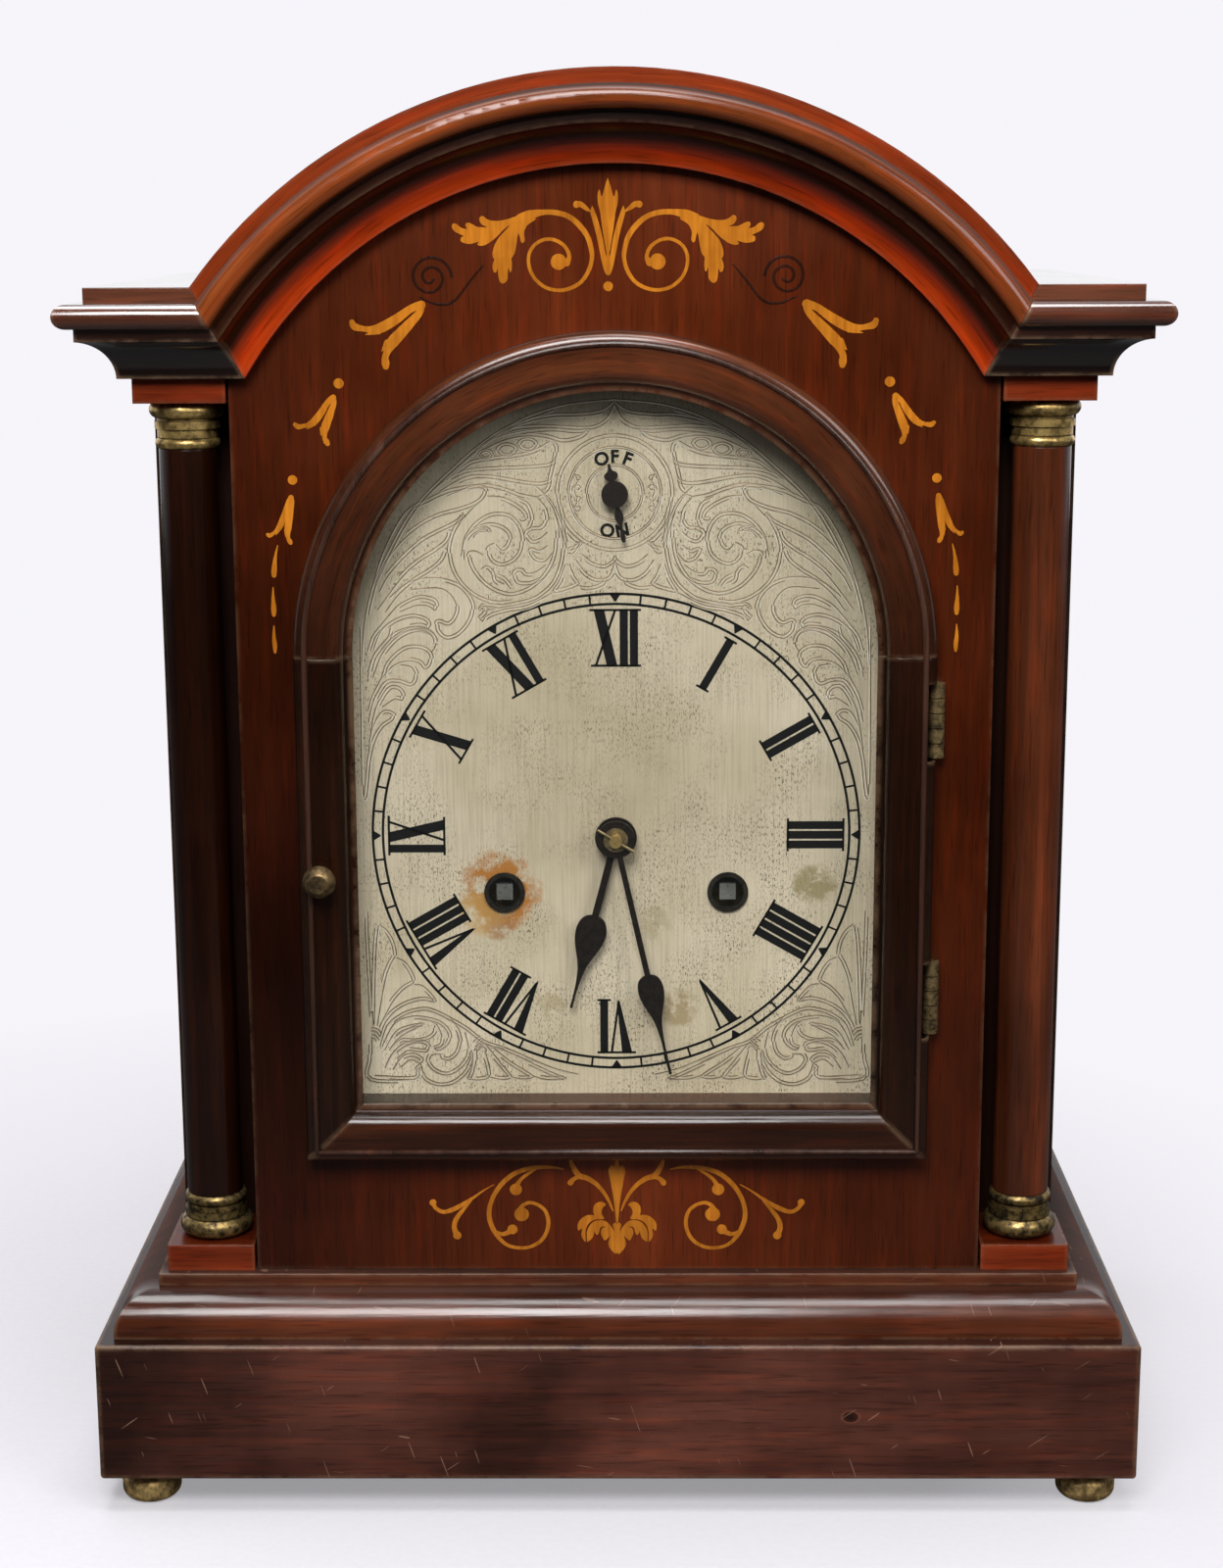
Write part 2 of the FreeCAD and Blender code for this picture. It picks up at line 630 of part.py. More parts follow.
door_arch = doc.addObject("PartDesign::Body", "door_arch")
door_arch_sketch = outline(door_arch, "door_arch_outline", "XY_Plane", rail_section(from_right, forward, -1))
door_arch_turn = door_arch.newObject("PartDesign::Revolution", "door_arch_turn")
door_arch_turn.Profile = door_arch_sketch
door_arch_turn.ReferenceAxis = (door_arch_sketch, ["V_Axis"])
door_arch_turn.Angle = 180.0
door_arch_turn.Reversed = True
place(door_arch, z=spring_z)
node("door_arch", door_arch)

glass_half = f"{sight_half} + rebate_width - glass_gap"
node("door_glass", board(
    "door_glass", ("front_y - rebate_depth", "front_y - rebate_depth + glass_thickness"),
    arched(glass_half, f"{door_z} + rail_width - rebate_width + glass_gap", spring_z)))

knob_z = f"{door_z} + knob_height"
knob_x = f"knob_inset - {door_half}"


def knob(name, radius, length, shank, sunk):
    """A turned pull knob on its shank, its axis upright."""
    return turned(
        name,
        ("0", f"-1 * ({sunk})"), (shank, f"-1 * ({sunk})"), (shank, "0"), (shank, f"{length} * 0.3"),
        (radius, f"{length} * 0.6", f"{radius} * 0.9", -1),
        (f"{radius} * 0.55", length, f"{radius} * 0.8", 1),
        ("0", length))


def facing(piece, name, x, y, z, tilt):
    """The upright piece laid over to point forwards (90) or backwards (-90)."""
    laid = doc.addObject("Part::Compound", name)
    laid.Links = [piece]
    laid.Placement.Rotation = FreeCAD.Rotation(V(1, 0, 0), tilt)
    return place(laid, x, y, z)


node("door_knob", facing(
    knob("knob_turning", "knob_radius", "knob_length", "knob_shank", "door_thickness - rebate_depth"),
    "door_knob", knob_x, door_y, knob_z, 90))
node("door_stile_left", less(
    "door_stile_left", mirrored("door_stile_twin", stile),
    rod("knob_hole", "y", (knob_x, f"{door_y} - cut_overrun", knob_z), "knob_shank",
        "door_thickness - rebate_depth + cut_overrun")))


def knuckles(name, x, y, middle, places, radius):
    """The knuckles of one leaf, as rods one above another along the hinge line."""
    rods = []
    for spot in places:
        low = f"{middle} - hinge_length / 2 + hinge_length * {spot} / 5 + knuckle_shake / 2"
        rods.append(rod(f"{name}_{spot}", "z", (x, y, low), radius, "hinge_length / 5 - knuckle_shake"))
    return rods


def tabs(name, x, y, middle, places):
    """The strips that join a leaf to its knuckles."""
    strips = []
    for spot in places:
        low = f"{middle} - hinge_length / 2 + hinge_length * {spot} / 5 + knuckle_shake / 2"
        strips.append(box(f"{name}_{spot}", x, y, (low, f"{low} + hinge_length / 5 - knuckle_shake")))
    return strips


FIXED_KNUCKLES = (0, 2, 4)
SWING_KNUCKLES = (1, 3)


def hinge(name, x, y, middle, fixed_leaf, swing_leaf, fixed_tab, swing_tab):
    """A butt hinge: the fixed leaf with a bored barrel and the swinging leaf with the pin."""
    span = (f"{middle} - hinge_length / 2", f"{middle} + hinge_length / 2")
    fixed = joined(
        name + "_fixed_blank", box(name + "_fixed_leaf", *fixed_leaf, span),
        *knuckles(name + "_fixed_knuckle", x, y, middle, FIXED_KNUCKLES, "knuckle_radius"),
        *tabs(name + "_fixed_tab", *fixed_tab, middle, FIXED_KNUCKLES))
    pin_start = (x, y, f"{middle} - hinge_length / 2")
    fixed = less(name + "_fixed", fixed,
                 rod(name + "_bore", "z", pin_start, "hinge_pin_radius + running_fit", "hinge_length"))
    swing = joined(
        name + "_swing", box(name + "_swing_leaf", *swing_leaf, span),
        *knuckles(name + "_swing_knuckle", x, y, middle, SWING_KNUCKLES, "knuckle_radius"),
        *tabs(name + "_swing_tab", *swing_tab, middle, SWING_KNUCKLES),
        rod(name + "_pin", "z", pin_start, "hinge_pin_radius", "hinge_length"))
    return fixed, swing


clear_x = f"{hinge_x} - knuckle_radius - notch_gap"
door_hinges = []
notches = []
recesses = []
for label, height in (("low", "hinge_foot"), ("high", "door_straight - hinge_head")):
    middle = f"{door_z} + {height}"
    span = (f"{middle} - hinge_length / 2", f"{middle} + hinge_length / 2")
    leaf_x = (f"{hinge_x} - leaf_width", clear_x)
    door_hinges.append(hinge(
        f"door_hinge_{label}", hinge_x, hinge_y, middle,
        ((leaf_x[0], f"{hinge_x} + leaf_thickness"), ("front_y", "front_y + leaf_thickness")),
        (leaf_x, ("front_y - leaf_thickness", "front_y")),
        ((f"{hinge_x} - leaf_thickness", f"{hinge_x} + leaf_thickness"),
         (hinge_y, "front_y + leaf_thickness")),
        ((clear_x, hinge_x), ("front_y - leaf_thickness", "front_y"))))
    notches.append(box(
        f"stile_notch_{label}", (clear_x, f"{door_half} + cut_overrun"),
        (f"{door_y} - cut_overrun", "front_y + cut_overrun"),
        (f"{span[0]} - knuckle_shake", f"{span[1]} + knuckle_shake")))
    notches.append(box(
        f"stile_recess_{label}", leaf_x, ("front_y - leaf_thickness", "front_y + cut_overrun"), span))
    recesses.append(box(
        f"panel_recess_{label}", (leaf_x[0], f"{hinge_x} + leaf_thickness"),
        ("front_y - cut_overrun", "front_y + leaf_thickness"), span))
node("door_stile_right", less("door_stile_right", stile, *notches))
node("front_panel", less("front_panel", front_panel, *recesses))
node("door_hinge_fixed", grouped("door_hinge_fixed", *(fixed for fixed, _ in door_hinges)))
node("door_hinge_swing", grouped("door_hinge_swing", *(swing for _, swing in door_hinges)))

# Back door: a plain board let into the back frame, on two butt hinges, with a turned knob.
back_hinge_x = f"{back_open_half} - back_door_gap / 2"
back_hinge_y = "back_y + knuckle_radius + knuckle_shake"
back_door = box(
    "back_board", (f"back_door_gap - {back_open_half}", f"{back_open_half} - back_door_gap"),
    ("back_y - back_thickness", "back_y"), (f"{back_low} + back_door_gap", f"{back_high} - back_door_gap"))
back_knob_x = f"back_knob_inset - {back_open_half}"
back_knob_z = f"({back_low} + {back_high}) / 2"
node("back_door", less(
    "back_door", back_door,
    rod("back_knob_hole", "y", (back_knob_x, "back_y - back_thickness / 2", back_knob_z), "knob_shank",
        "back_thickness")))
node("back_door_knob", facing(
    knob("back_knob_turning", "back_knob_radius", "back_knob_length", "knob_shank", "back_thickness / 2"),
    "back_door_knob", back_knob_x, "back_y", back_knob_z, -90))
back_hinges = []
for label, share in (("low", "0.2"), ("high", "0.8")):
    middle = f"{back_low} + back_open_height * {share}"
    leaf_y = ("back_y - back_leaf_width", "back_y - knuckle_shake")
    tab_y = ("back_y - back_leaf_width", back_hinge_y)
    fixed_x = (f"{back_open_half} - back_leaf", back_open_half)
    swing_x = (f"{back_open_half} - back_door_gap", f"{back_open_half} - back_door_gap + back_leaf")
    back_hinges.append(hinge(
        f"back_hinge_{label}", back_hinge_x, back_hinge_y, middle,
        (fixed_x, leaf_y), (swing_x, leaf_y), (fixed_x, tab_y), (swing_x, tab_y)))
node("back_hinge_fixed", grouped("back_hinge_fixed", *(fixed for fixed, _ in back_hinges)))
node("back_hinge_swing", grouped("back_hinge_swing", *(swing for _, swing in back_hinges)))

# Dial: a silvered plate behind the front board, grommets round the winding holes and a small pointer.
face_y = "front_y + panel_thickness"
dial_back = f"{face_y} + dial_thickness"
winding_z = f"{dial_z} - winding_drop"
winding_xs = ("-1 * winding_spread / 2", "winding_spread / 2")
pointer_z = f"{dial_z} + pointer_rise"
pipe_bore = "cannon_radius + running_fit"
pipe_radius = f"{pipe_bore} + pipe_wall"
dial_bore = f"{pipe_radius} + end_shake"
node("dial_plate", board(
    "dial_plate", (face_y, dial_back),
    arched(f"{open_half} + dial_margin", f"{open_low} - dial_margin", spring_z),
    [("0", dial_z, dial_bore)], [("0", pointer_z, "pointer_arbor + running_fit")],
    *([(x, winding_z, "winding_hole")] for x in winding_xs)))

grommets = []
for index, x in enumerate(winding_xs):
    flange = rod(f"grommet_flange_{index}", "y", (x, f"{face_y} - grommet_lip", winding_z), "grommet_radius",
                 "grommet_lip")
    sleeve = rod(f"grommet_sleeve_{index}", "y", (x, face_y, winding_z), "winding_hole", "dial_thickness")
    bore = rod(f"grommet_bore_{index}", "y", (x, f"{face_y} - grommet_lip - cut_overrun", winding_z),
               "grommet_bore", "grommet_lip + dial_thickness + 2 * cut_overrun")
    grommets.append(less(f"grommet_{index}", joined(f"grommet_blank_{index}", flange, sleeve), bore))
node("winding_grommets", grouped("winding_grommets", *grommets))


def disc(x, z, y0, y1, radius):
    """A disc or rod lying along the depth, between two depths."""
    return Part.makeCylinder(radius, y1 - y0, V(x, y0, z), V(0, 1, 0))


def plate(points, y0, y1):
    """A flat plate of straight edges, between two depths."""
    corners = [V(x, y0, z) for x, z in points]
    return Part.Face(Part.makePolygon(corners + corners[:1])).extrude(V(0, y1 - y0, 0))


def whole(*shapes):
    """The shapes as one solid."""
    return shapes[0].multiFuse(list(shapes[1:])).removeSplitter()


HAND_ANGLES = {"hour": -14.6, "minute": 12.6, "pointer": 11.0}


LEAF_LENGTH_SHARES = (0.3, 0.36, 0.69)
LEAF_WIDTH_SHARES = (0.76, 0.79, 0.36)


def leaf_hand(length, width, stem, start_share, belly_share, waist_share, tip_share):
    """A hand's stem and round-shouldered leaf, pointing down from its boss, as one flat outline."""
    half, thin, tip = width / 2, stem / 2, length * tip_share / 2
    start, belly, waist = (-length * share for share in (start_share, belly_share, waist_share))
    shoulder = start + (belly - start) * LEAF_LENGTH_SHARES[0]
    side = [V(thin, 0, start), V(half * LEAF_WIDTH_SHARES[0], 0, shoulder), V(half, 0, belly)]
    for along, across in zip(LEAF_LENGTH_SHARES[1:], LEAF_WIDTH_SHARES[1:]):
        side.append(V(half * across, 0, belly + (waist - belly) * along))
    side += [V((thin + tip) / 2, 0, waist), V(tip, 0, -length)]
    right = Part.BSplineCurve()
    right.interpolate(side)
    left = Part.BSplineCurve()
    left.interpolate([V(-spot.x, 0, spot.z) for spot in side])
    top = [V(-thin, 0, 0), V(thin, 0, 0)]
    edges = [
        Part.LineSegment(top[0], top[1]).toShape(),
        Part.LineSegment(top[1], side[0]).toShape(),
        right.toShape(),
        Part.LineSegment(side[-1], V(-tip, 0, -length)).toShape(),
        left.toShape(),
        Part.LineSegment(V(-thin, 0, start), top[0]).toShape()]
    return Part.Face(Part.Wire(Part.__sortEdges__(edges)))


def set_hand(name, face, boss, bore, y0, thickness, z, angle):
    """Thickens a hand's outline, adds its boss, bores it and turns it to its hour."""
    blank = whole(face.extrude(V(0, thickness, 0)), disc(0, 0, 0, thickness, boss))
    solid = blank.cut(disc(0, 0, -thickness, 2 * thickness, bore))
    piece = made(name, solid)
    piece.Placement = FreeCAD.Placement(V(0, y0, z), FreeCAD.Rotation(V(0, -1, 0), angle))
    return piece


centre_z = value(dial_z)
front = value(face_y)
thick = value("hand_thickness")
hour_y = front - value("hour_stand") - thick
minute_y = front - value("minute_stand") - thick
HOUR_LEAF_SHARES = (0.456, 0.547, 0.82, 0.016)
MINUTE_LEAF_SHARES = (0.574, 0.628, 0.82, 0.0117)
hour_leaf = leaf_hand(value("hour_length"), value("hour_leaf"), value("hour_stem"), *HOUR_LEAF_SHARES)
node("hour_hand", set_hand(
    "hour_hand", hour_leaf, value("hand_boss"), value(pipe_radius), hour_y, thick, centre_z,
    HAND_ANGLES["hour"]))
minute_leaf = leaf_hand(
    value("minute_length"), value("minute_leaf"), value("minute_stem"), *MINUTE_LEAF_SHARES)
node("minute_hand", set_hand(
    "minute_hand", minute_leaf, value("minute_boss"), value("cannon_radius"), minute_y, thick, centre_z,
    HAND_ANGLES["minute"]))

pointer_front = front - value("pointer_stand") - thick
POINTER_LEAF_SHARES = (0.3, 0.45, 0.75, 0.05)
POINTER_TAIL_SHARES = (0.45, 0.62, 0.85, 0.08)
pointer_face = leaf_hand(
    value("pointer_length"), value("pointer_width"), value("pointer_stem"), *POINTER_LEAF_SHARES)
pointer_tail = leaf_hand(
    value("pointer_tail"), value("pointer_heart"), value("pointer_stem"), *POINTER_TAIL_SHARES)
pointer_tail.rotate(V(0, 0, 0), V(0, 1, 0), 180)
pointer_reach = value("pointer_stand + hand_thickness + dial_thickness + end_shake")
pointer = made("silent_pointer", whole(
    pointer_face.extrude(V(0, thick, 0)), pointer_tail.extrude(V(0, thick, 0)),
    disc(0, 0, -thick, thick, value("pointer_boss")),
    disc(0, 0, 0, pointer_reach, value("pointer_arbor")),
    disc(0, 0, pointer_reach, pointer_reach + thick, value("pointer_boss"))))
pointer.Placement = FreeCAD.Placement(
    V(0, pointer_front, value(pointer_z)), FreeCAD.Rotation(V(0, -1, 0), HAND_ANGLES["pointer"]))
node("silent_pointer", pointer)

# Movement frame: two brass plates held apart by four pillars, standing on a seat board.
plate_front = f"{dial_back} + plate_gap"
inner_low = f"{plate_front} + plate_thickness"
inner_high = f"{inner_low} + plate_spacing"
plate_back = f"{inner_high} + plate_thickness"
plate_x = ("-1 * plate_width / 2", "plate_width / 2")
plate_z = (f"{dial_z} - plate_low", f"{dial_z} + plate_high")
ARBOR_PLACES = {
    "centre": ("0", "0"),
    "third": ("-1 * third_left", "third_up"),
    "escape": ("0", "escape_up"),
    "anchor": ("0", "anchor_up"),
    "pin": ("pin_right", "pin_up"),
    "warn": ("warn_right", "warn_up"),
    "fly": ("fly_right", "fly_up"),
}


def pivot_holes(name, y, through, axle):
    """The pivot holes of one plate, and the wider hole of the arbor that passes through it."""
    holes = []
    for arbor, (x, up) in ARBOR_PLACES.items():
        radius = axle if arbor == through else "pivot_radius"
        holes.append(rod(f"{name}_{arbor}_hole", "y", (x, f"{y} - cut_overrun", f"{dial_z} + {up}"),
                         f"{radius} + running_fit", "plate_thickness + 2 * cut_overrun"))
    for index, x in enumerate(winding_xs):
        holes.append(rod(f"{name}_winding_{index}", "y", (x, f"{y} - cut_overrun", winding_z),
                         "winding_arbor + running_fit", "plate_thickness + 2 * cut_overrun"))
    return holes


stud_x, stud_z = "stud_right", f"{dial_z} - stud_drop"
front_blank = less(
    "front_plate_blank", box("front_plate_sheet", plate_x, (plate_front, inner_low), plate_z),
    *pivot_holes("front_plate", plate_front, "centre", "centre_arbor"))
node("front_plate", joined(
    "front_plate", front_blank,
    rod("minute_stud", "y", (stud_x, f"{plate_front} - stud_length", stud_z), "stud_radius",
        "stud_length + plate_thickness / 2")))

pivot_z = f"{dial_z} + anchor_up"
cock_x = "3 * cock_radius"
hang_y = f"{plate_back} + pendulum_stand"
cock_y = f"{hang_y} + eye_thickness / 2 + end_shake + cock_radius"
hammer_z = f"{plate_z[0]} + hammer_rise"
hammer_y = f"{plate_back} + hammer_stand"
lug_low = ("hammer_left - 2 * hammer_head", "hammer_left")
lug_high = ("hammer_left + hammer_span", "hammer_left + hammer_span + 2 * hammer_head")
lug_y = (inner_high, f"{hammer_y} + hammer_head")
lug_z = (f"{hammer_z} - hammer_head", f"{hammer_z} + hammer_head")
back_blank = less(
    "back_plate_blank",
    joined("back_plate_lugged", box("back_plate_sheet", plate_x, (inner_high, plate_back), plate_z),
           box("hammer_lug_low", lug_low, lug_y, lug_z), box("hammer_lug_high", lug_high, lug_y, lug_z)),
    rod("hammer_bore", "x", (f"{lug_low[0]} - cut_overrun", hammer_y, hammer_z), "pivot_radius + running_fit",
        "hammer_span + 4 * hammer_head + 2 * cut_overrun"),
    *pivot_holes("back_plate", inner_high, "anchor", "train_arbor"))
node("back_plate", joined(
    "back_plate", back_blank,
    rod("cock_post", "y", (cock_x, inner_high, pivot_z), "cock_radius",
        f"{cock_y} + cock_radius - ({inner_high})"),
    rod("cock_arm", "x", ("-1 * cock_radius", cock_y, pivot_z), "cock_radius", f"{cock_x} + cock_radius"),
    rod("cock_pin", "y", ("0", f"{hang_y} - eye_thickness", pivot_z), "pivot_radius",
        f"{cock_y} - ({hang_y}) + eye_thickness")))

pillars = []
for x in ("-1", "1"):
    for up in ("pillar_inset - plate_low", "plate_high - pillar_inset"):
        foot_of_pillar = (f"{x} * (plate_width / 2 - pillar_inset)", inner_low, f"{dial_z} + {up}")
        pillars.append(rod(f"pillar_{len(pillars)}", "y", foot_of_pillar, "pillar_radius", "plate_spacing"))
node("plate_pillars", grouped("plate_pillars", *pillars))
seat_y = f"{dial_back} + plate_gap / 2"
node("seat_board", box("seat_board", (f"-1 * ({post_in})", post_in), (seat_y, f"{seat_y} + seat_depth"),
                       (f"{plate_z[0]} - seat_thickness", plate_z[0])))

# Trains: toothed wheels and pinions on arbors that run in the plates.
ADDENDUM_SHARE, DEDENDUM_SHARE, ROOT_SHARE = 0.9, 1.15, 0.36
TOOTH_COUNT = {
    "great": 66, "centre_pinion": 8, "centre": 84, "third_pinion": 7, "third": 77, "escape_pinion": 7,
    "escape": 34, "pin_pinion": 8, "pin": 48, "warn_pinion": 8, "warn": 42, "fly_pinion": 7,
    "cannon": 12, "minute": 36, "minute_pinion": 12, "hour": 48,
}


def spot(arbor):
    """An arbor's place as x and z."""
    if arbor == "going":
        return value(winding_xs[0]), value(winding_z)
    if arbor == "strike":
        return value(winding_xs[1]), value(winding_z)
    if arbor == "stud":
        return value(stud_x), value(stud_z)
    x, up = ARBOR_PLACES[arbor]
    return value(x), value(f"{dial_z} + {up}")


def module_of(first, second, teeth):
    """The tooth module that makes two wheels of these counts meet."""
    (x0, z0), (x1, z1) = spot(first), spot(second)
    return 2 * math.hypot(x1 - x0, z1 - z0) / sum(teeth)


def bearing(first, second):
    """The direction from one arbor to another."""
    (x0, z0), (x1, z1) = spot(first), spot(second)
    return math.atan2(z1 - z0, x1 - x0)


def toothed(arbor, y0, y1, teeth, module, phase):
    """A toothed disc with pointed teeth, one of them at the phase angle."""
    x, z = spot(arbor)
    pitch = 2 * math.pi / teeth
    tip = module * (teeth / 2 + ADDENDUM_SHARE)
    root = module * (teeth / 2 - DEDENDUM_SHARE)
    points = []
    for tooth in range(teeth):
        for offset, radius in ((-ROOT_SHARE, root), (0, tip), (ROOT_SHARE, root)):
            angle = phase + (tooth + offset) * pitch
            points.append((x + radius * math.cos(angle), z + radius * math.sin(angle)))
    return plate(points, y0, y1)


SPOKE_COUNT = 4


def crossed(shape, arbor, y0, y1, hub, rim, spoke):
    """Cuts the gaps between the spokes out of a wheel."""
    x, z = spot(arbor)
    for gap in range(SPOKE_COUNT):
        middle = (gap + 0.5) * 2 * math.pi / SPOKE_COUNT
        corners = []
        for radius, ends in ((hub, (-1, 1)), (rim, (1, 0.4, -0.4, -1))):
            half = math.pi / SPOKE_COUNT - math.asin(spoke / radius)
            for end in ends:
                angle = middle + end * half
                corners.append((x + radius * math.cos(angle), z + radius * math.sin(angle)))
        shape = shape.cut(plate(corners, y0 - spoke, y1 + spoke))
    return shape


def wheel(arbor, y0, teeth, module, phase):
    """A crossed-out brass wheel."""
    y1 = y0 + value("wheel_thickness")
    blank = toothed(arbor, y0, y1, teeth, module, phase)
    rim = module * (teeth / 2 - DEDENDUM_SHARE) - value("wheel_thickness")
    return crossed(blank, arbor, y0, y1, value("wheel_hub"), rim, value("wheel_spoke / 2"))


low = value(inner_low)
high = value(inner_high)
shake = value("end_shake")
pivot = value("pivot_radius")
axle = value("train_arbor")
plate_thick = value("plate_thickness")
overrun = value("cut_overrun")


def shaft(arbor):
    """An arbor between the plates with a pivot in each."""
    x, z = spot(arbor)
    return whole(disc(x, z, low + shake, high - shake, axle),
                 disc(x, z, low - plate_thick, high + plate_thick, pivot))


great_y = low + value("great_place")
centre_y = low + value("centre_place")
third_y = low + value("third_place")
escape_y = low + value("escape_place")
strike_y = low + value("strike_place")
pin_y = low + value("pin_place")
warn_y = low + value("warn_place")
fly_y = low + value("fly_place")
wheel_thick = value("wheel_thickness")
pinion_long = value("pinion_length")


def pinion(arbor, wheel_y, teeth, module, driver):
    """A pinion whose gap faces the wheel that drives it."""
    y0 = wheel_y + (wheel_thick - pinion_long) / 2
    return toothed(arbor, y0, y0 + pinion_long, teeth, module, bearing(arbor, driver) + math.pi / teeth)


def barrel(name, arbor, wheel_y, drum_y, driven):
    """A spring barrel with its great wheel and the squared winding arbor."""
    x, z = spot(arbor)
    module = module_of(arbor, driven, (TOOTH_COUNT["great"], TOOTH_COUNT["centre_pinion"]))
    great = toothed(arbor, wheel_y, wheel_y + wheel_thick, TOOTH_COUNT["great"], module,
                    bearing(arbor, driven))
    drum = disc(x, z, drum_y, drum_y + value("barrel_length"), value("barrel_radius"))
    post = disc(x, z, low - plate_thick - shake, high + plate_thick, value("winding_arbor"))
    half = value("winding_square") / 2
    square = plate([(x - half, z - half), (x + half, z - half), (x + half, z + half), (x - half, z + half)],
                   value(face_y) + shake, value(plate_front) - shake)
    return node(name, made(name, whole(great, drum, post, square)))


barrel("going_barrel", "going", great_y, great_y + 1.5 * wheel_thick, "centre")
barrel("strike_barrel", "strike", strike_y, strike_y - value("barrel_length") - 3 * wheel_thick, "pin")

great_module = module_of("going", "centre", (TOOTH_COUNT["great"], TOOTH_COUNT["centre_pinion"]))
centre_module = module_of("centre", "third", (TOOTH_COUNT["centre"], TOOTH_COUNT["third_pinion"]))
third_module = module_of("third", "escape", (TOOTH_COUNT["third"], TOOTH_COUNT["escape_pinion"]))
strike_module = module_of("strike", "pin", (TOOTH_COUNT["great"], TOOTH_COUNT["pin_pinion"]))
pin_module = module_of("pin", "warn", (TOOTH_COUNT["pin"], TOOTH_COUNT["warn_pinion"]))
warn_module = module_of("warn", "fly", (TOOTH_COUNT["warn"], TOOTH_COUNT["fly_pinion"]))

pin_hole_y = minute_y - value("washer_thickness") - value("taper_pin") - shake / 2
arbor_end = pin_hole_y - 3 * value("taper_pin")
TAPER_TILT = math.radians(-32)
taper_way = V(math.cos(TAPER_TILT), 0, math.sin(TAPER_TILT))
pin_reach = value("taper_pin_length")
taper = Part.makeCone(value("taper_pin") * 0.7, value("taper_pin"), pin_reach,
                      V(0, pin_hole_y, centre_z) - taper_way * (pin_reach / 2), taper_way)
centre_axle = value("centre_arbor")
centre_shaft = whole(
    disc(0, centre_z, arbor_end, high - shake, centre_axle),
    disc(0, centre_z, high - centre_axle, high + plate_thick, pivot),
    pinion("centre", great_y, TOOTH_COUNT["centre_pinion"], great_module, "going"),
    wheel("centre", centre_y, TOOTH_COUNT["centre"], centre_module, bearing("centre", "third")))
node("centre_wheel", made("centre_wheel", centre_shaft.cut(taper)))
washer = disc(0, centre_z, minute_y - value("washer_thickness"), minute_y, value("hand_washer")).cut(
    disc(0, centre_z, minute_y - overrun, minute_y + overrun, centre_axle))
node("hand_pin", made("hand_pin", Part.Compound([washer, taper])))

node("third_wheel", made("third_wheel", whole(
    shaft("third"), pinion("third", centre_y, TOOTH_COUNT["third_pinion"], centre_module, "centre"),
    wheel("third", third_y, TOOTH_COUNT["third"], third_module, bearing("third", "escape")))))


def escape_teeth(y0, y1):
    """The escape wheel's slender hooked teeth."""
    x, z = spot("escape")
    teeth = TOOTH_COUNT["escape"]
    tip = value("escape_radius")
    root = tip - value("escape_depth")
    points = []
    for tooth in range(teeth):
        for share, radius in ((0, tip), (0.3, root), (0.85, root)):
            angle = (tooth + share) * 2 * math.pi / teeth
            points.append((x + radius * math.cos(angle), z + radius * math.sin(angle)))
    return crossed(plate(points, y0, y1), "escape", y0, y1, value("wheel_hub"), root - wheel_thick,
                   value("wheel_spoke / 2"))


node("escape_wheel", made("escape_wheel", whole(
    shaft("escape"), pinion("escape", third_y, TOOTH_COUNT["escape_pinion"], third_module, "third"),
    escape_teeth(escape_y, escape_y + value("escape_thickness")))))

# Anchor and crutch: pallets astride the escape wheel, and a fork that holds the pendulum.
PALLET_SPREAD = math.radians(38)
anchor_z = value(pivot_z)
escape_z = spot("escape")[1]
reach = value("escape_radius + pallet_gap")
tip_x, tip_z = reach * math.sin(PALLET_SPREAD), escape_z + reach * math.cos(PALLET_SPREAD)
arm = value("pallet_width")
anchor_y = (escape_y, escape_y + value("escape_thickness"))
arms = []
for turn in (-1, 1):
    arms.append(plate([
        (0, anchor_z + arm * 0.7), (turn * (tip_x + arm), tip_z + arm * 1.6),
        (turn * (tip_x + arm * 1.1), tip_z + arm * 0.6), (turn * tip_x, tip_z),
        (turn * (tip_x - arm * 0.1), tip_z + arm), (0, anchor_z - arm * 0.9)], *anchor_y))
back = value(plate_back)
crutch_y = back + value("crutch_gap")
fork_z = anchor_z - value("pendulum_length") * 0.36
rod_gap = value("rod_radius") + shake
hang = value(hang_y)


def upright(x0, x1, z0, z1, y0, y1):
    """A flat plate with upright sides, between two depths."""
    return plate([(x0, z0), (x1, z0), (x1, z1), (x0, z1)], y0, y1)


crutch_back = crutch_y + value("crutch_thickness")
tine = rod_gap + value("crutch_thickness")
crutch = [
    disc(0, anchor_z, back + shake, crutch_back, 2 * axle),
    upright(-axle, axle, fork_z, anchor_z, crutch_y, crutch_back),
    upright(-tine, tine, fork_z, fork_z + arm, crutch_y, crutch_back),
    upright(-tine, -rod_gap, fork_z, fork_z + arm, crutch_y, hang + value("rod_radius")),
    upright(rod_gap, tine, fork_z, fork_z + arm, crutch_y, hang + value("rod_radius"))]
node("anchor", made("anchor", whole(
    disc(0, anchor_z, low + shake, crutch_back, axle),
    disc(0, anchor_z, low - plate_thick, low + axle, pivot),
    disc(0, anchor_z, *anchor_y, arm), *arms, *crutch)))

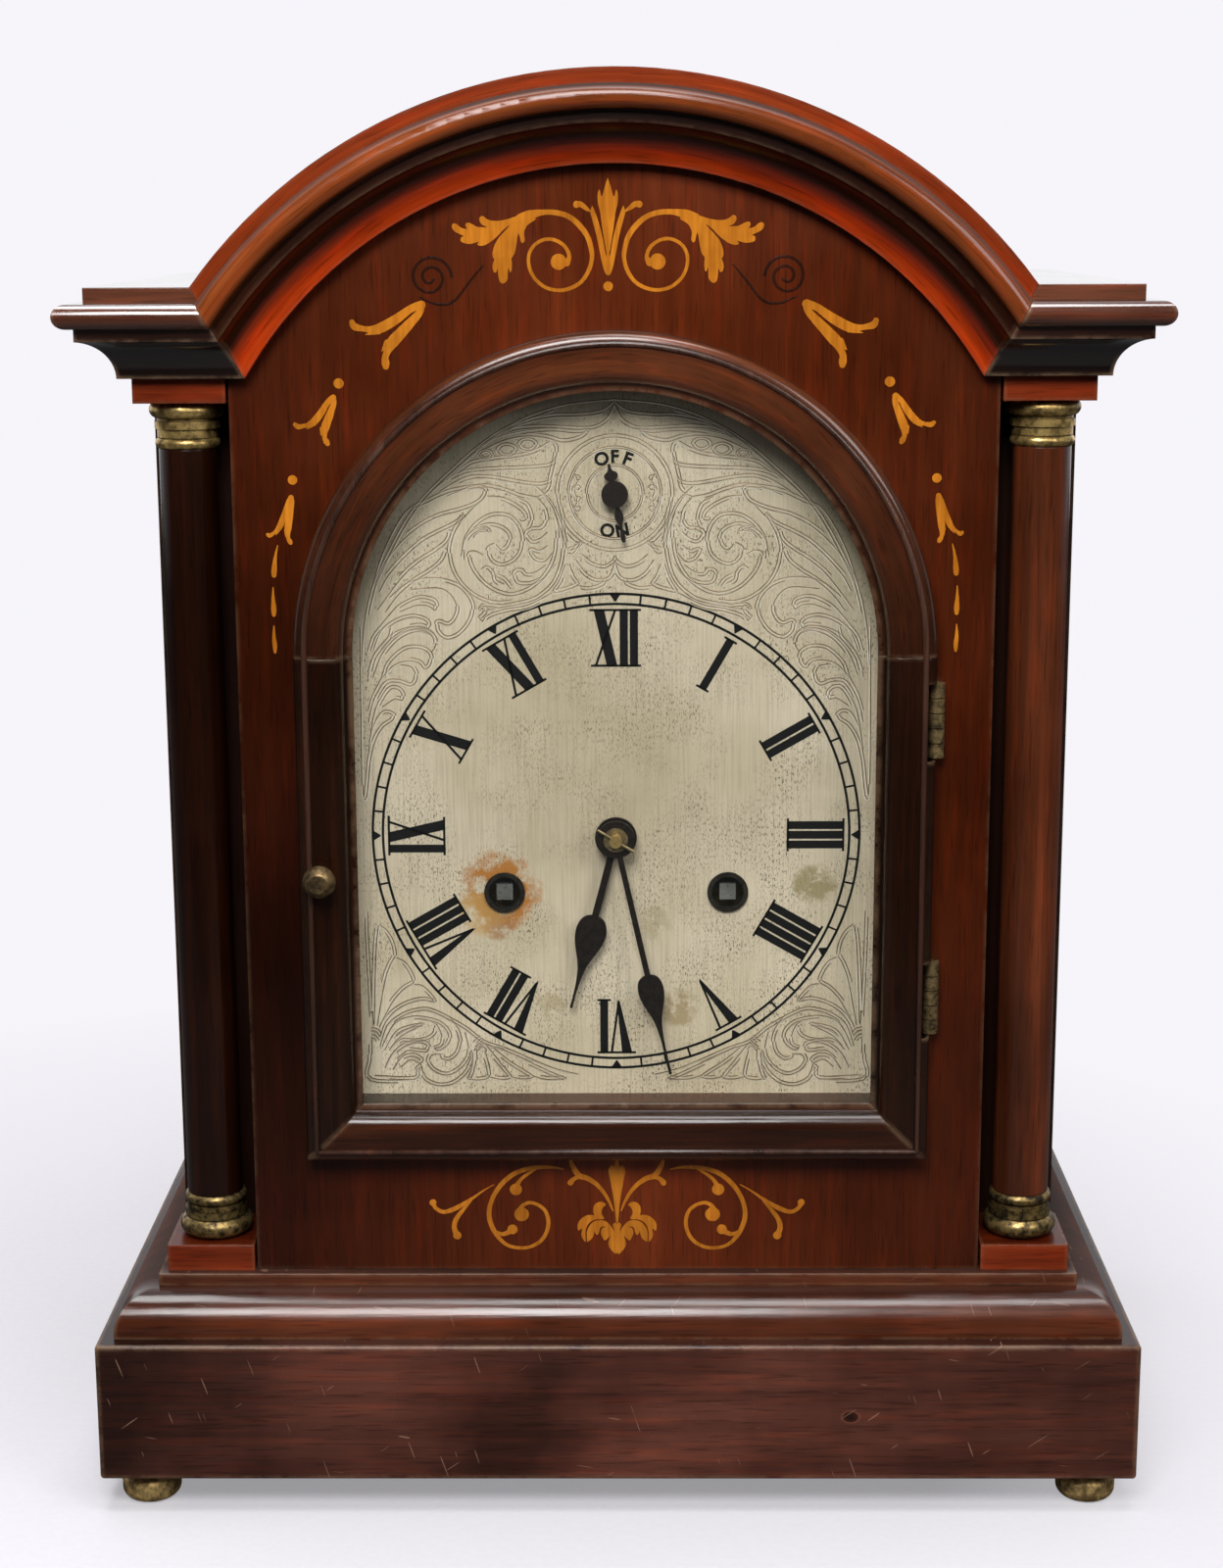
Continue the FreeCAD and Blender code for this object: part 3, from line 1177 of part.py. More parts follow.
# Pendulum: an eye on the cock's pin, a rod and a lenticular bob.
rod_r = value("rod_radius")
bob_r = value("bob_radius")
bob_z = anchor_z - value("pendulum_length")
nut_low = bob_z - bob_r - value("nut_height")
eye_half = value("eye_thickness") / 2
hanging = whole(
    disc(0, anchor_z, hang - eye_half, hang + eye_half, value("eye_radius")),
    Part.makeCylinder(rod_r, anchor_z - nut_low - pivot - rod_r, V(0, hang, nut_low)),
    Part.makeCylinder(value("nut_radius"), value("nut_height"), V(0, hang, nut_low)))
node("pendulum_rod", made("pendulum_rod", hanging.cut(
    disc(0, anchor_z, hang - overrun, hang + overrun, pivot + value("running_fit")))))
bob_half = value("bob_thickness") / 2
dome = (bob_r * bob_r + bob_half * bob_half) / (2 * bob_half)
lens = Part.makeSphere(dome, V(0, hang - bob_half + dome, bob_z)).common(
    Part.makeSphere(dome, V(0, hang + bob_half - dome, bob_z)))
lens = lens.cut(Part.makeCylinder(rod_r, 4 * bob_r, V(0, hang, bob_z - 2 * bob_r)))
node("pendulum_bob", made("pendulum_bob", lens))

# Strike train: pin wheel, warning wheel and fly.
node("pin_wheel", made("pin_wheel", whole(
    shaft("pin"), pinion("pin", strike_y, TOOTH_COUNT["pin_pinion"], strike_module, "strike"),
    wheel("pin", pin_y, TOOTH_COUNT["pin"], pin_module, bearing("pin", "warn")))))
node("warning_wheel", made("warning_wheel", whole(
    shaft("warn"), pinion("warn", pin_y, TOOTH_COUNT["warn_pinion"], pin_module, "pin"),
    wheel("warn", warn_y, TOOTH_COUNT["warn"], warn_module, bearing("warn", "fly")))))
fly_x, fly_z = spot("fly")
fly_r = value("fly_radius")
vane_half = pivot / 2
vane = upright(fly_x - fly_r, fly_x + fly_r, fly_z - vane_half, fly_z + vane_half, fly_y,
               fly_y + value("fly_width"))
node("fly", made("fly", whole(
    shaft("fly"), pinion("fly", warn_y, TOOTH_COUNT["fly_pinion"], warn_module, "warn"), vane)))

# Motion work between the front plate and the dial: cannon pinion, minute wheel and hour wheel.
motion = value(plate_front)
cannon_module = module_of("centre", "stud", (TOOTH_COUNT["cannon"], TOOTH_COUNT["minute"]))
hour_module = module_of("centre", "stud", (TOOTH_COUNT["minute_pinion"], TOOTH_COUNT["hour"]))
cannon_end = motion - shake
cannon_bore = value("centre_arbor + running_fit")
cannon_long = 2 * wheel_thick
cannon = whole(
    toothed("centre", cannon_end - cannon_long, cannon_end, TOOTH_COUNT["cannon"], cannon_module,
            bearing("centre", "stud")),
    disc(0, centre_z, minute_y, cannon_end, value("cannon_radius")))
cannon_hole = disc(0, centre_z, minute_y - overrun, motion, cannon_bore)
node("cannon_pinion", made("cannon_pinion", cannon.cut(cannon_hole)))
stud_bore = value("stud_radius + running_fit")
minute_end = motion - wheel_thick / 2
stud = spot("stud")
minute = whole(
    toothed("stud", minute_end - wheel_thick, minute_end, TOOTH_COUNT["minute"], cannon_module,
            bearing("stud", "centre") + math.pi / TOOTH_COUNT["minute"]),
    toothed("stud", minute_end - 3 * wheel_thick, minute_end - wheel_thick, TOOTH_COUNT["minute_pinion"],
            hour_module, bearing("stud", "centre")))
node("minute_wheel", made("minute_wheel", minute.cut(disc(stud[0], stud[1], front, motion, stud_bore))))
hour_end = cannon_end - cannon_long - shake
hour = whole(
    toothed("centre", hour_end - value("hour_wheel_thickness"), hour_end, TOOTH_COUNT["hour"], hour_module,
            bearing("centre", "stud") + math.pi / TOOTH_COUNT["hour"]),
    disc(0, centre_z, hour_y, hour_end, value(pipe_radius)))
hour_hole = disc(0, centre_z, hour_y - overrun, motion, value(pipe_bore))
node("hour_wheel", made("hour_wheel", hour.cut(hour_hole)))

# Gong: two rods in an iron block on the floor, and a pair of hammers on one arbor above them.
gong_y = f"{plate_back} + gong_stand"
gong_z = "floor_z + gong_up"
block_right = f"{back_half} - gong_inset"
gong_rods = []
gong_block = box("gong_casting", (f"{block_right} - gong_block_width", block_right),
                 (f"{gong_y} - gong_block_depth / 2", f"{gong_y} + gong_block_depth / 2"),
                 ("floor_z", "floor_z + gong_block_height"))
gong_holes = []
for index, offset in enumerate(("-1 * gong_spacing / 2", "gong_spacing / 2")):
    start = (f"{block_right} - gong_block_width / 2 - gong_length", f"{gong_y} + {offset}", gong_z)
    gong_rods.append(rod(f"gong_rod_{index}", "x", start, "gong_radius", "gong_length"))
    gong_holes.append(rod(f"gong_hole_{index}", "x", start, "gong_radius", "gong_length"))
node("gong_block", less("gong_block", gong_block, *gong_holes))
node("gong_rods", grouped("gong_rods", *gong_rods))

head_low = f"{gong_z} + gong_radius + hammer_gap"
hammer_parts = [
    rod("hammer_arbor", "x", ("hammer_left + end_shake", hammer_y, hammer_z), "hammer_arbor",
        "hammer_span - 2 * end_shake"),
    rod("hammer_pivots", "x", (lug_low[0], hammer_y, hammer_z), "pivot_radius",
        "hammer_span + 4 * hammer_head")]
for index, (offset, share) in enumerate((("-1 * gong_spacing / 2", "0.3"), ("gong_spacing / 2", "0.7"))):
    x = f"hammer_left + hammer_span * {share}"
    y = f"{gong_y} + {offset}"
    hammer_parts += [
        rod(f"hammer_arm_{index}", "y", (x, hammer_y, hammer_z), "hammer_arm", f"{y} - ({hammer_y})"),
        rod(f"hammer_stem_{index}", "z", (x, y, head_low), "hammer_arm",
            f"{hammer_z} - ({head_low}) + hammer_arm"),
        rod(f"hammer_head_{index}", "z", (x, y, head_low), "hammer_head", "3 * hammer_head")]
node("hammer", joined("hammer", *hammer_parts))

# Every object has to be sound before the sub-parts are written.
doc.recompute()
for thing in doc.Objects:
    if {"Invalid", "Error"} & set(thing.State):
        raise RuntimeError(f"{thing.Label} did not build: {thing.State}")
os.makedirs("parts", exist_ok=True)
for piece in NODES:
    if piece.Shape.isNull() or not piece.Shape.isValid():
        raise RuntimeError(f"{piece.Label} has no sound shape")
    piece.Shape.exportStep(f"parts/{piece.Label}.step")
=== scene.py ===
import math

import bpy
from mathutils import Matrix, Vector


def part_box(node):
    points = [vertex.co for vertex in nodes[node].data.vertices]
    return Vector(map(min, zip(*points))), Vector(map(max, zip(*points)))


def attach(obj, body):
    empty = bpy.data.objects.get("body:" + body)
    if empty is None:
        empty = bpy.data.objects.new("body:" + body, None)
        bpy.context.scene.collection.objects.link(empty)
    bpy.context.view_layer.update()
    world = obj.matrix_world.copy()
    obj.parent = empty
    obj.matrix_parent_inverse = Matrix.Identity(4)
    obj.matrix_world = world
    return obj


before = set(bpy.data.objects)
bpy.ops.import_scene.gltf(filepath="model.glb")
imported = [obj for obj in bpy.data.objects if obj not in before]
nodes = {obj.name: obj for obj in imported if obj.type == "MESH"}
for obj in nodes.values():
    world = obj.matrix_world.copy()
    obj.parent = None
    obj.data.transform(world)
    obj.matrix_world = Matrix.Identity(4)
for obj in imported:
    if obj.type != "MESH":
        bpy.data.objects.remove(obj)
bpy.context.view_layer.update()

# Feet: four small buns turned from brass rod and screwed up into the plinth.
# The lacquer has gone, so the metal is dull and brown with bright places where it is rubbed.


def node_maker(tree):
    """A maker of nodes in a tree, whose sockets take a value or another node's output."""

    def add(kind, sockets=None, **settings):
        made = tree.nodes.new("ShaderNode" + kind)
        for word, value in settings.items():
            setattr(made, word, value)
        for socket, value in (sockets or {}).items():
            if isinstance(value, bpy.types.NodeSocket):
                tree.links.new(value, made.inputs[socket])
            else:
                made.inputs[socket].default_value = value
        return made

    return add


def ramped(add, amount, stops):
    """A ramp of colours, or of greys given as single numbers."""
    made = add("ValToRGB", {"Fac": amount})
    band = made.color_ramp
    while len(band.elements) < len(stops):
        band.elements.new(0.5)
    for element, (place, colour) in zip(band.elements, stops):
        element.position = place
        element.color = (*colour, 1) if isinstance(colour, tuple) else (colour, colour, colour, 1)
    return made.outputs["Color"]


def shader_bench(name):
    """A new finish: the material, its shader, a maker of nodes, a joiner and a maker of colour ramps."""
    finish = bpy.data.materials.new(name)
    finish.use_nodes = True
    tree = finish.node_tree
    shader = tree.nodes["Principled BSDF"]
    add = node_maker(tree)

    def join(source, socket):
        tree.links.new(source, shader.inputs[socket])

    def ramp(amount, stops):
        return ramped(add, amount, stops)

    return finish, shader, add, join, ramp


def noise(add, place, scale, detail, rough=0.5):
    """Cloudy noise, finer as the scale grows."""
    sockets = {"Vector": place, "Scale": scale, "Detail": detail, "Roughness": rough}
    return add("TexNoise", sockets).outputs["Fac"]


def drawn_out(add, place, scale):
    """Places drawn out by a scale along each axis, for grain."""
    return add("Mapping", {"Vector": place, "Scale": scale}).outputs["Vector"]


def sum_of(add, operation, first, second):
    """Two amounts put through one operation of arithmetic."""
    return add("Math", {0: first, 1: second}, operation=operation).outputs[0]


def between(add, amount, low, high):
    """An amount as a share of the way from low to high."""
    return add("MapRange", {"Value": amount, "From Min": low, "From Max": high}).outputs[0]


def blend(add, kind, amount, first, second):
    """Two colours laid over each other."""
    mixed = add("Mix", data_type="RGBA", blend_type=kind)
    for socket, value in ((0, amount), (6, first), (7, second)):
        if isinstance(value, bpy.types.NodeSocket):
            mixed.id_data.links.new(value, mixed.inputs[socket])
        else:
            mixed.inputs[socket].default_value = value
    return mixed.outputs[2]


def tarnished(name, bright, brown, rough, grain=420, tip=None):
    """Old turned metal, bright where rubbed and brown in the hollows; past its tip plane another metal."""
    finish, shader, add, join, ramp = shader_bench(name)
    place = add("TexCoord").outputs["Object"]
    cloud = noise(add, place, grain, 6, 0.65)
    pits = noise(add, place, grain * 7, 2)
    hollow = add("AmbientOcclusion", {"Distance": 0.004}, samples=6, only_local=True).outputs["AO"]
    metal = ramp(cloud, [(0.4, brown), (0.64, bright)])
    if tip:
        out = add("SeparateXYZ", {"Vector": place}).outputs["Y"]
        out = sum_of(add, "LESS_THAN", out, tip[0])
        metal = blend(add, "MIX", out, metal, (*tip[1], 1))
    metal = blend(add, "MULTIPLY", 1, metal, ramp(hollow, [(0.35, 0.25), (0.85, 1.0)]))
    join(blend(add, "MULTIPLY", 0.7, metal, ramp(pits, [(0.28, 0.3), (0.42, 1.0)])), "Base Color")
    join(ramp(cloud, [(0.3, rough + 0.22), (0.65, rough)]), "Roughness")
    shader.inputs["Metallic"].default_value = 0.8
    dent = add("Bump", {"Height": pits, "Strength": 0.12, "Distance": 0.0004})
    join(dent.outputs["Normal"], "Normal")
    return finish


def dress(finish, *names):
    """Lays a finish on the named pieces of the frame."""
    for name in names:
        piece = nodes[name]
        piece.data.materials.clear()
        piece.data.materials.append(finish)


# The feet are painted brighter than the column bases' brass: painted light for the shade under the plinth.
dress(tarnished("foot_brass_painted_light", (0.95, 0.66, 0.26), (0.25, 0.16, 0.065), 0.4), "base_feet")

# Plinth: a heavy mahogany block, its front and ends veneered with the grain along their length.
# It is the part that is knocked about: scratches, a dent painted as a dark pit (painted shade) with a painted
# highlight round its rim, and pale arrises where the polish is gone. It is painted darker towards its ends.

ARCH_ROUND = 0.14
CORNICE_MIDDLE = 0.28435
RUBBED_WOOD = (0.34, 0.2, 0.11, 1)
SCRATCHED_WOOD = (0.24, 0.13, 0.085, 1)
SCRATCH_WAYS = ((0.15, 80), (-0.6, 90), (1.25, 100))
SCRATCH_LENGTH = 14


def mahogany(name, deep, warm, pale, along, rough=0.3, wear=0.5, scratch=0.0, stain_and_shade=None,
             middle=CORNICE_MIDDLE, gloss=0.3, coat=0.0, painted_light_and_dirt=(), dusty=(), cloudy=0.6):
    """French-polished mahogany: long streaks, short dark pores, reddish flecks painted brighter as
    highlights, hollows darkened with soiling and painted shade, painted shade on faces that look up, and
    rubbed edges.

    Painted light, painted shade and soiling darken or lighten round a place, and dust dulls round a place; a
    stain-and-shade ramp colours and dulls from one radius of an arch to another.
    """
    finish, shader, add, join, ramp = shader_bench(name)
    place = spot = add("TexCoord").outputs["Object"]
    if along == "arch":
        axes = add("SeparateXYZ", {"Vector": place}).outputs
        rise = sum_of(add, "SUBTRACT", axes["Z"], middle)
        turn = sum_of(add, "ARCTAN2", axes["X"], rise)
        length = sum_of(add, "MULTIPLY", turn, ARCH_ROUND)
        flat = add("CombineXYZ", {"X": axes["X"], "Y": 0.0, "Z": rise}).outputs[0]
        radius = add("VectorMath", {0: flat}, operation="LENGTH").outputs["Value"]
        place = add("CombineXYZ", {"X": radius, "Y": axes["Y"], "Z": length}).outputs[0]
        along = "z"
    stretched = {}
    for word, close, far in (("streak", 190, 5), ("pore", 1700, 70), ("band", 38, 3), ("painted_glint", 420, 40)):
        scale = [far if axis == along else close for axis in "xyz"]
        stretched[word] = drawn_out(add, place, scale)
    streak = add("TexNoise", {"Vector": stretched["streak"], "Scale": 1, "Detail": 7, "Roughness": 0.62,
                           "Distortion": 0.35}).outputs["Fac"]
    band = noise(add, stretched["band"], 1, 3)
    pore = noise(add, stretched["pore"], 1, 1)
    cloud = noise(add, place, 17, 4)
    colour = ramp(streak, [(0.25, deep), (0.5, warm), (0.75, pale)])
    colour = blend(add, "MULTIPLY", 0.7, colour, ramp(band, [(0.3, 0.7), (0.65, 1.0)]))
    colour = blend(add, "MULTIPLY", 0.8, colour, ramp(cloud, [(0.34, cloudy), (0.62, 1.1)]))
    colour = blend(add, "MULTIPLY", 0.5, colour, ramp(pore, [(0.58, 1.0), (0.7, 0.3)]))
    # Painted highlights: sparse reddish flecks along the grain, lighter than the wood, stand in for the
    # shimmer of its figure.
    painted_glint = noise(add, stretched["painted_glint"], 1, 2)
    painted_glint_tone = ramp(painted_glint, [(0.5, (1.0, 1.0, 1.0)), (0.75, (1.45, 1.15, 1.0))])
    colour = blend(add, "MULTIPLY", 1, colour, painted_glint_tone)
    # Colour by radius of an arch: a real stain, plus painted shade wherever the stops darken.
    if stain_and_shade:
        from_bore = between(add, radius, stain_and_shade[0], stain_and_shade[1])
        colour = blend(add, "MULTIPLY", 1, colour, ramp(from_bore, stain_and_shade[2]))

    def shaded(centre, reach, stops):
        far = add("VectorMath", {0: spot, 1: centre}, operation="SUBTRACT").outputs[0]
        far = add("VectorMath", {0: far, 1: reach}, operation="MULTIPLY").outputs[0]
        return ramp(add("VectorMath", {0: far}, operation="LENGTH").outputs["Value"], stops)

    # Painted light and shade, with some soiling, darken or lighten round the given places.
    for shade in painted_light_and_dirt:
        colour = blend(add, "MULTIPLY", 1, colour, shaded(*shade))
    # Painted shade: faces that look up are darkened.
    up_for_painted_shade = add("SeparateXYZ", {"Vector": add("NewGeometry").outputs["Normal"]}).outputs["Z"]
    colour = blend(add, "MULTIPLY", 1, colour, ramp(up_for_painted_shade, [(0.6, 1.0), (0.95, 0.4)]))
    # Hollows darkened: soiling, plus painted shade where shade falls.
    hollow = add("AmbientOcclusion", {"Distance": 0.006}, samples=5, only_local=True).outputs["AO"]
    colour = blend(add, "MULTIPLY", 0.8, colour, ramp(hollow, [(0.3, 0.2), (0.9, 1.0)]))
    edge = add("AmbientOcclusion", {"Distance": 0.0015}, samples=5, inside=True, only_local=True)
    patchy = noise(add, place, 95, 5, 0.7)
    rubbed = sum_of(add, "MULTIPLY", ramp(edge.outputs["AO"], [(0.6, 1.0), (0.92, 0.0)]),
                    ramp(patchy, [(0.36, 0.0), (0.55, 1.0)]))
    rubbed = sum_of(add, "MULTIPLY", rubbed, wear)
    colour = blend(add, "MIX", rubbed, colour, RUBBED_WOOD)
    if scratch:
        for tilt, many in SCRATCH_WAYS:
            size = (1 / many, 1 / many, 1 / (many * SCRATCH_LENGTH))
            line = add("Mapping", {"Vector": place, "Rotation": (0, tilt, 0), "Scale": size},
                       vector_type="TEXTURE")
            mark = noise(add, line.outputs["Vector"], 1, 0)
            mark = ramp(mark, [(0.84, 0.0), (0.86, scratch)])
            colour = blend(add, "MIX", mark, colour, SCRATCHED_WOOD)
    join(colour, "Base Color")
    dull = ramp(cloud, [(0.35, rough), (0.65, rough + 0.1)])
    if stain_and_shade:
        dull = blend(add, "LIGHTEN", 1, dull, ramp(from_bore, stain_and_shade[3]))
    for shade in dusty:
        dull = blend(add, "LIGHTEN", 1, dull, shaded(*shade))
    join(blend(add, "MIX", rubbed, dull, (0.6, 0.6, 0.6, 1)), "Roughness")
    shader.inputs["Specular IOR Level"].default_value = gloss
    shader.inputs["Coat Weight"].default_value = coat
    shader.inputs["Coat Roughness"].default_value = 0.1
    soft = add("Bevel", {"Radius": 0.0006}, samples=4).outputs["Normal"]
    relief = add("Bump", {"Height": pore, "Strength": 0.1, "Distance": 0.0003, "Normal": soft}, invert=True)
    relief = relief.outputs["Normal"]
    wavy = add("Bump", {"Height": cloud, "Strength": 0.08, "Distance": 0.004, "Normal": relief})
    join(wavy.outputs["Normal"], "Normal")
    return finish


# The first patch is the painted dent, with painted shade in its pit and a painted highlight on its rim; the
# second darkens the plinth towards its ends.
dress(mahogany("plinth_mahogany", (0.06, 0.019, 0.012), (0.092, 0.029, 0.018), (0.125, 0.039, 0.023),
               "x", 0.2, 1.0, scratch=0.7, cloudy=0.15,
               painted_light_and_dirt=[((0.072, -0.103, 0.032), (230, 0, 320),
                      [(0.2, 0.2), (0.5, 0.4), (0.6, 1.6), (0.8, 1.0)]),
                     ((0.0, 0, 0), (6, 0, 0), [(0.3, 1.1), (0.95, 0.62)])]), "base_plinth")

# Base moulding and step: a run of half-round mahogany moulding mitred round the plinth,
# with a thin board on it that carries the case. The polish is thick and still bright.

dress(mahogany("moulding_mahogany", (0.04, 0.009, 0.003), (0.085, 0.02, 0.007), (0.13, 0.032, 0.011),
               "x", 0.16, 0.25, scratch=0.35, gloss=0.5, cloudy=0.4,
               dusty=[((0, -0.2, 0), (0, 8, 0), [(0.88, 0.0), (0.97, 0.9)])]), "base_moulding", "base_top")

# Blocks: square mahogany blocks under and over each column, glued to the step and the cornice.
# They are cut from redder stock than the case.

dress(mahogany("block_mahogany", (0.08, 0.011, 0.003), (0.17, 0.022, 0.005), (0.23, 0.036, 0.009),
               "x", 0.2, 0.12, gloss=0.2), "column_blocks", "frieze_blocks")

# Columns: plain mahogany shafts turned and polished in the lathe, with pressed brass bases and
# capitals slipped over their ends.

# Painted light: the right-hand shaft is painted much lighter and the left one darker, as the light falls from
# the right.
dress(mahogany("column_mahogany", (0.01, 0.0025, 0.001), (0.022, 0.0055, 0.002), (0.042, 0.01, 0.0035),
               "z", 0.14, 0.0, gloss=0.35,
               painted_light_and_dirt=[((0.142, 0, 0), (3.6, 0, 0), [(0.0, 4.6), (0.1, 2.6), (0.9, 0.55)])]), "column_shafts")
dress(tarnished("base_brass", (0.36, 0.245, 0.085), (0.03, 0.021, 0.011), 0.3), "column_bases")
# The capitals are a brighter copy of the bases' brass: painted light for the shade of the cornice over them.
dress(tarnished("capital_brass_painted_light", (0.78, 0.54, 0.19), (0.16, 0.105, 0.036), 0.26, 300), "column_capitals")

# Case front: a mahogany board veneered upright, with an arched opening cut through it; the corner
# posts set back behind the columns and the sides are of the same wood, glued and pinned.

# Painted light and shade: the board is painted lighter down its middle and darker towards its sides, with
# painted shade down its left side by the column. It is also lighter round the middle of its foot.
dress(mahogany("panel_mahogany", (0.078, 0.013, 0.0025), (0.1, 0.017, 0.0035), (0.128, 0.024, 0.005),
               "z", 0.17, 0.1, gloss=0.25,
               painted_light_and_dirt=[((0, -0.08, 0.36), (6.6, 0, 1.05), [(0.1, 1.05), (0.5, 0.68), (0.95, 0.3)]),
                     ((0, 0, 0.09), (6, 0, 10), [(0.15, 1.4), (0.65, 1.0)]),
                     ((-0.115, 0, 0.16), (6, 0, 7), [(0.1, 0.28), (0.95, 1.0)])]), "front_panel")
# Painted shade: the corner posts are painted near black for the shade in the recess behind the columns.
dress(mahogany("post_mahogany_painted_shade", (0.012, 0.004, 0.002), (0.02, 0.006, 0.003), (0.03, 0.009, 0.004),
               "z", 0.5, 0.1, gloss=0.1), "corner_post_left", "corner_post_right")
dress(mahogany("side_mahogany", (0.045, 0.011, 0.004), (0.1, 0.025, 0.009), (0.15, 0.041, 0.015),
               "z", 0.36, 0.3), "side_panel_left", "side_panel_right")

# Inlay: leaf scrolls, husks and drops of satinwood, sawn by fret, let into the veneer of the front
# and scraped level. Each half was cut with its twin, so the sides mirror each other.

MILLIMETRE = 0.001
PANEL_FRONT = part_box("front_panel")[0].y / MILLIMETRE
INLAY_PROUD, INLAY_STEP, LET_IN_DEEP = 0.02, 0.0002, 0.02
CURL_PLACE, CURL_ROUND, CURL_TURN, CURL_WIDTH = (-51.5, 377.5), 6.3, 0.33, 0.9
CURL_TAIL = [(-54.8, 371.9, 0.5), (-49.8, 369.9, 0.8), (-44.9, 370.6, 0.8), (-39.9, 376.5, 0.7),
             (-36.0, 381.0, 0.4)]
CREST_ASIDE = -1.6
CREST_STROKES = [
    [(-25.4, 394.2, 2.3), (-22.6, 395.1, 2.6), (-18.8, 395.8, 1.6), (-15.0, 395.7, 1.5), (-11.3, 394.6, 1.5),
     (-8.2, 392.1, 1.6), (-5.9, 388.9, 1.5), (-4.8, 385.2, 1.4), (-4.7, 382.4, 1.2), (-5.7, 379.1, 1.2),
     (-7.8, 376.1, 1.1), (-10.9, 374.3, 1.1), (-14.4, 373.7, 1.0), (-18.0, 374.5, 1.0), (-20.8, 376.6, 1.0),
     (-22.4, 379.2, 1.0), (-23.0, 382.0, 1.0), (-22.6, 384.5, 1.0), (-21.0, 386.8, 1.0), (-18.4, 388.1, 1.0),
     (-15.8, 388.1, 1.0), (-13.4, 387.0, 1.0), (-11.8, 385.2, 1.1), (-11.2, 383.1, 1.2),
     (-12.0, 381.5, 2.1)],
    [(-5.1, 396.1, 0.5), (-6.3, 396.9, 1.2), (-7.8, 398.0, 1.6), (-9.0, 398.0, 1.7)],
]
CREST_LEAVES = [
    [(-22.6, 394.9), (-26.3, 394.7), (-28.7, 394.0), (-31.1, 393.5), (-33.4, 393.5), (-34.9, 394.0),
     (-35.9, 394.8), (-36.8, 394.6), (-37.0, 393.6), (-36.3, 392.4), (-34.8, 391.7), (-36.7, 391.7),
     (-37.7, 391.8), (-39.6, 392.8), (-40.8, 392.9), (-41.1, 392.1), (-40.7, 391.2), (-42.2, 391.5),
     (-43.6, 392.6), (-44.7, 392.7), (-45.0, 391.8), (-44.3, 390.6), (-42.8, 389.8), (-41.6, 389.2),
     (-42.4, 388.8), (-42.5, 387.8), (-41.5, 387.2), (-39.6, 387.0), (-37.3, 387.6), (-37.7, 386.9),
     (-37.0, 386.4), (-35.4, 386.7), (-33.5, 387.8), (-31.6, 389.4), (-30.1, 391.0), (-28.2, 392.3),
     (-29.9, 390.4), (-31.8, 388.3), (-32.9, 386.2), (-33.4, 384.1), (-33.0, 382.7), (-32.7, 382.9),
     (-33.3, 381.3), (-33.4, 380.2), (-33.1, 379.0), (-32.4, 378.8), (-32.0, 379.9), (-31.8, 378.3),
     (-31.5, 376.5), (-30.7, 375.7), (-29.8, 376.0), (-29.1, 377.1), (-29.0, 379.1), (-28.8, 380.1),
     (-28.4, 378.9), (-27.9, 379.6), (-27.8, 381.5), (-27.9, 382.9), (-27.0, 384.2), (-26.4, 387.1),
     (-25.9, 389.9), (-25.4, 388.8), (-25.1, 387.5), (-24.5, 387.2), (-24.0, 388.0), (-24.2, 389.9),
     (-23.8, 391.2), (-23.0, 392.4), (-20.7, 394.0)],
    [(-4.5, 397.7), (-3.8, 396.2), (-2.6, 392.8), (-1.5, 388.4), (-0.7, 384.0), (0.0, 382.4), (0.0, 378.2),
     (-0.7, 378.4), (-1.5, 380.5), (-2.4, 384.7), (-3.2, 388.8), (-4.5, 393.7), (-5.0, 395.8)],
    [(0.0, 405.5), (-0.8, 403.1), (-1.5, 400.6), (-1.9, 400.3), (-2.2, 401.6), (-2.5, 402.1), (-2.9, 400.8),
     (-2.8, 398.1), (-2.2, 395.8), (-1.8, 392.5), (-1.3, 389.3), (-0.4, 384.2), (0.0, 382.4)],
]
CREST_DOTS = [
    (-14.3, 381.8, 2.3),
    (-9.0, 398.0, 1.0),
    (0.0, 374.8, 1.4),
]
HUSK_LOBES = [
    [(0.01, 0.01, 2.5), (0.15, 0.03, 2.2), (0.3, 0.16, 2.8), (0.47, 0.24, 2.9), (0.61, 0.22, 2.0),
     (0.74, 0.17, 1.6), (0.9, 0.09, 2.1), (0.99, -0.01, 1.6)],
    [(0.47, 0.28, 2.1), (0.56, 0.29, 1.1), (0.65, 0.29, 0.2)],
    [(0.0, 0.03, 2.1), (-0.03, 0.15, 2.1), (0.02, 0.29, 2.7), (0.08, 0.43, 3.2), (0.13, 0.56, 3.4),
     (0.13, 0.69, 2.2), (0.11, 0.81, 1.9), (0.05, 0.92, 2.3), (0.01, 0.99, 1.8)],
    [(0.2, 0.56, 2.3), (0.21, 0.64, 1.2), (0.23, 0.68, 0.2)],
]
HUSKS = [
    ((-55.5, 369.9), (-20.9, -5.3), (-10.9, -18.0), 1.0),
    ((-82.0, 343.3), (-11.6, -8.2), (-2.0, -13.7), 0.74),
    ((-95.2, 314.2), (-7.4, -11.4), (-0.5, -13.7), 0.62),
]
DROP_STROKES = [
    [(-99.7, 299.7, 0.3), (-100.5, 296.2, 0.9), (-100.9, 292.7, 1.6), (-101.0, 290.9, 1.4)],
    [(-101.4, 287.2, 0.3), (-101.5, 283.9, 1.0), (-101.4, 280.8, 1.6), (-101.4, 279.1, 1.2)],
    [(-101.5, 275.7, 0.3), (-101.6, 272.4, 1.0), (-101.4, 269.8, 1.3), (-101.4, 267.8, 0.8)],
]
HUSK_DOTS = [
    (-80.4, 347.2, 1.5),
    (-94.7, 319.1, 1.4),
]
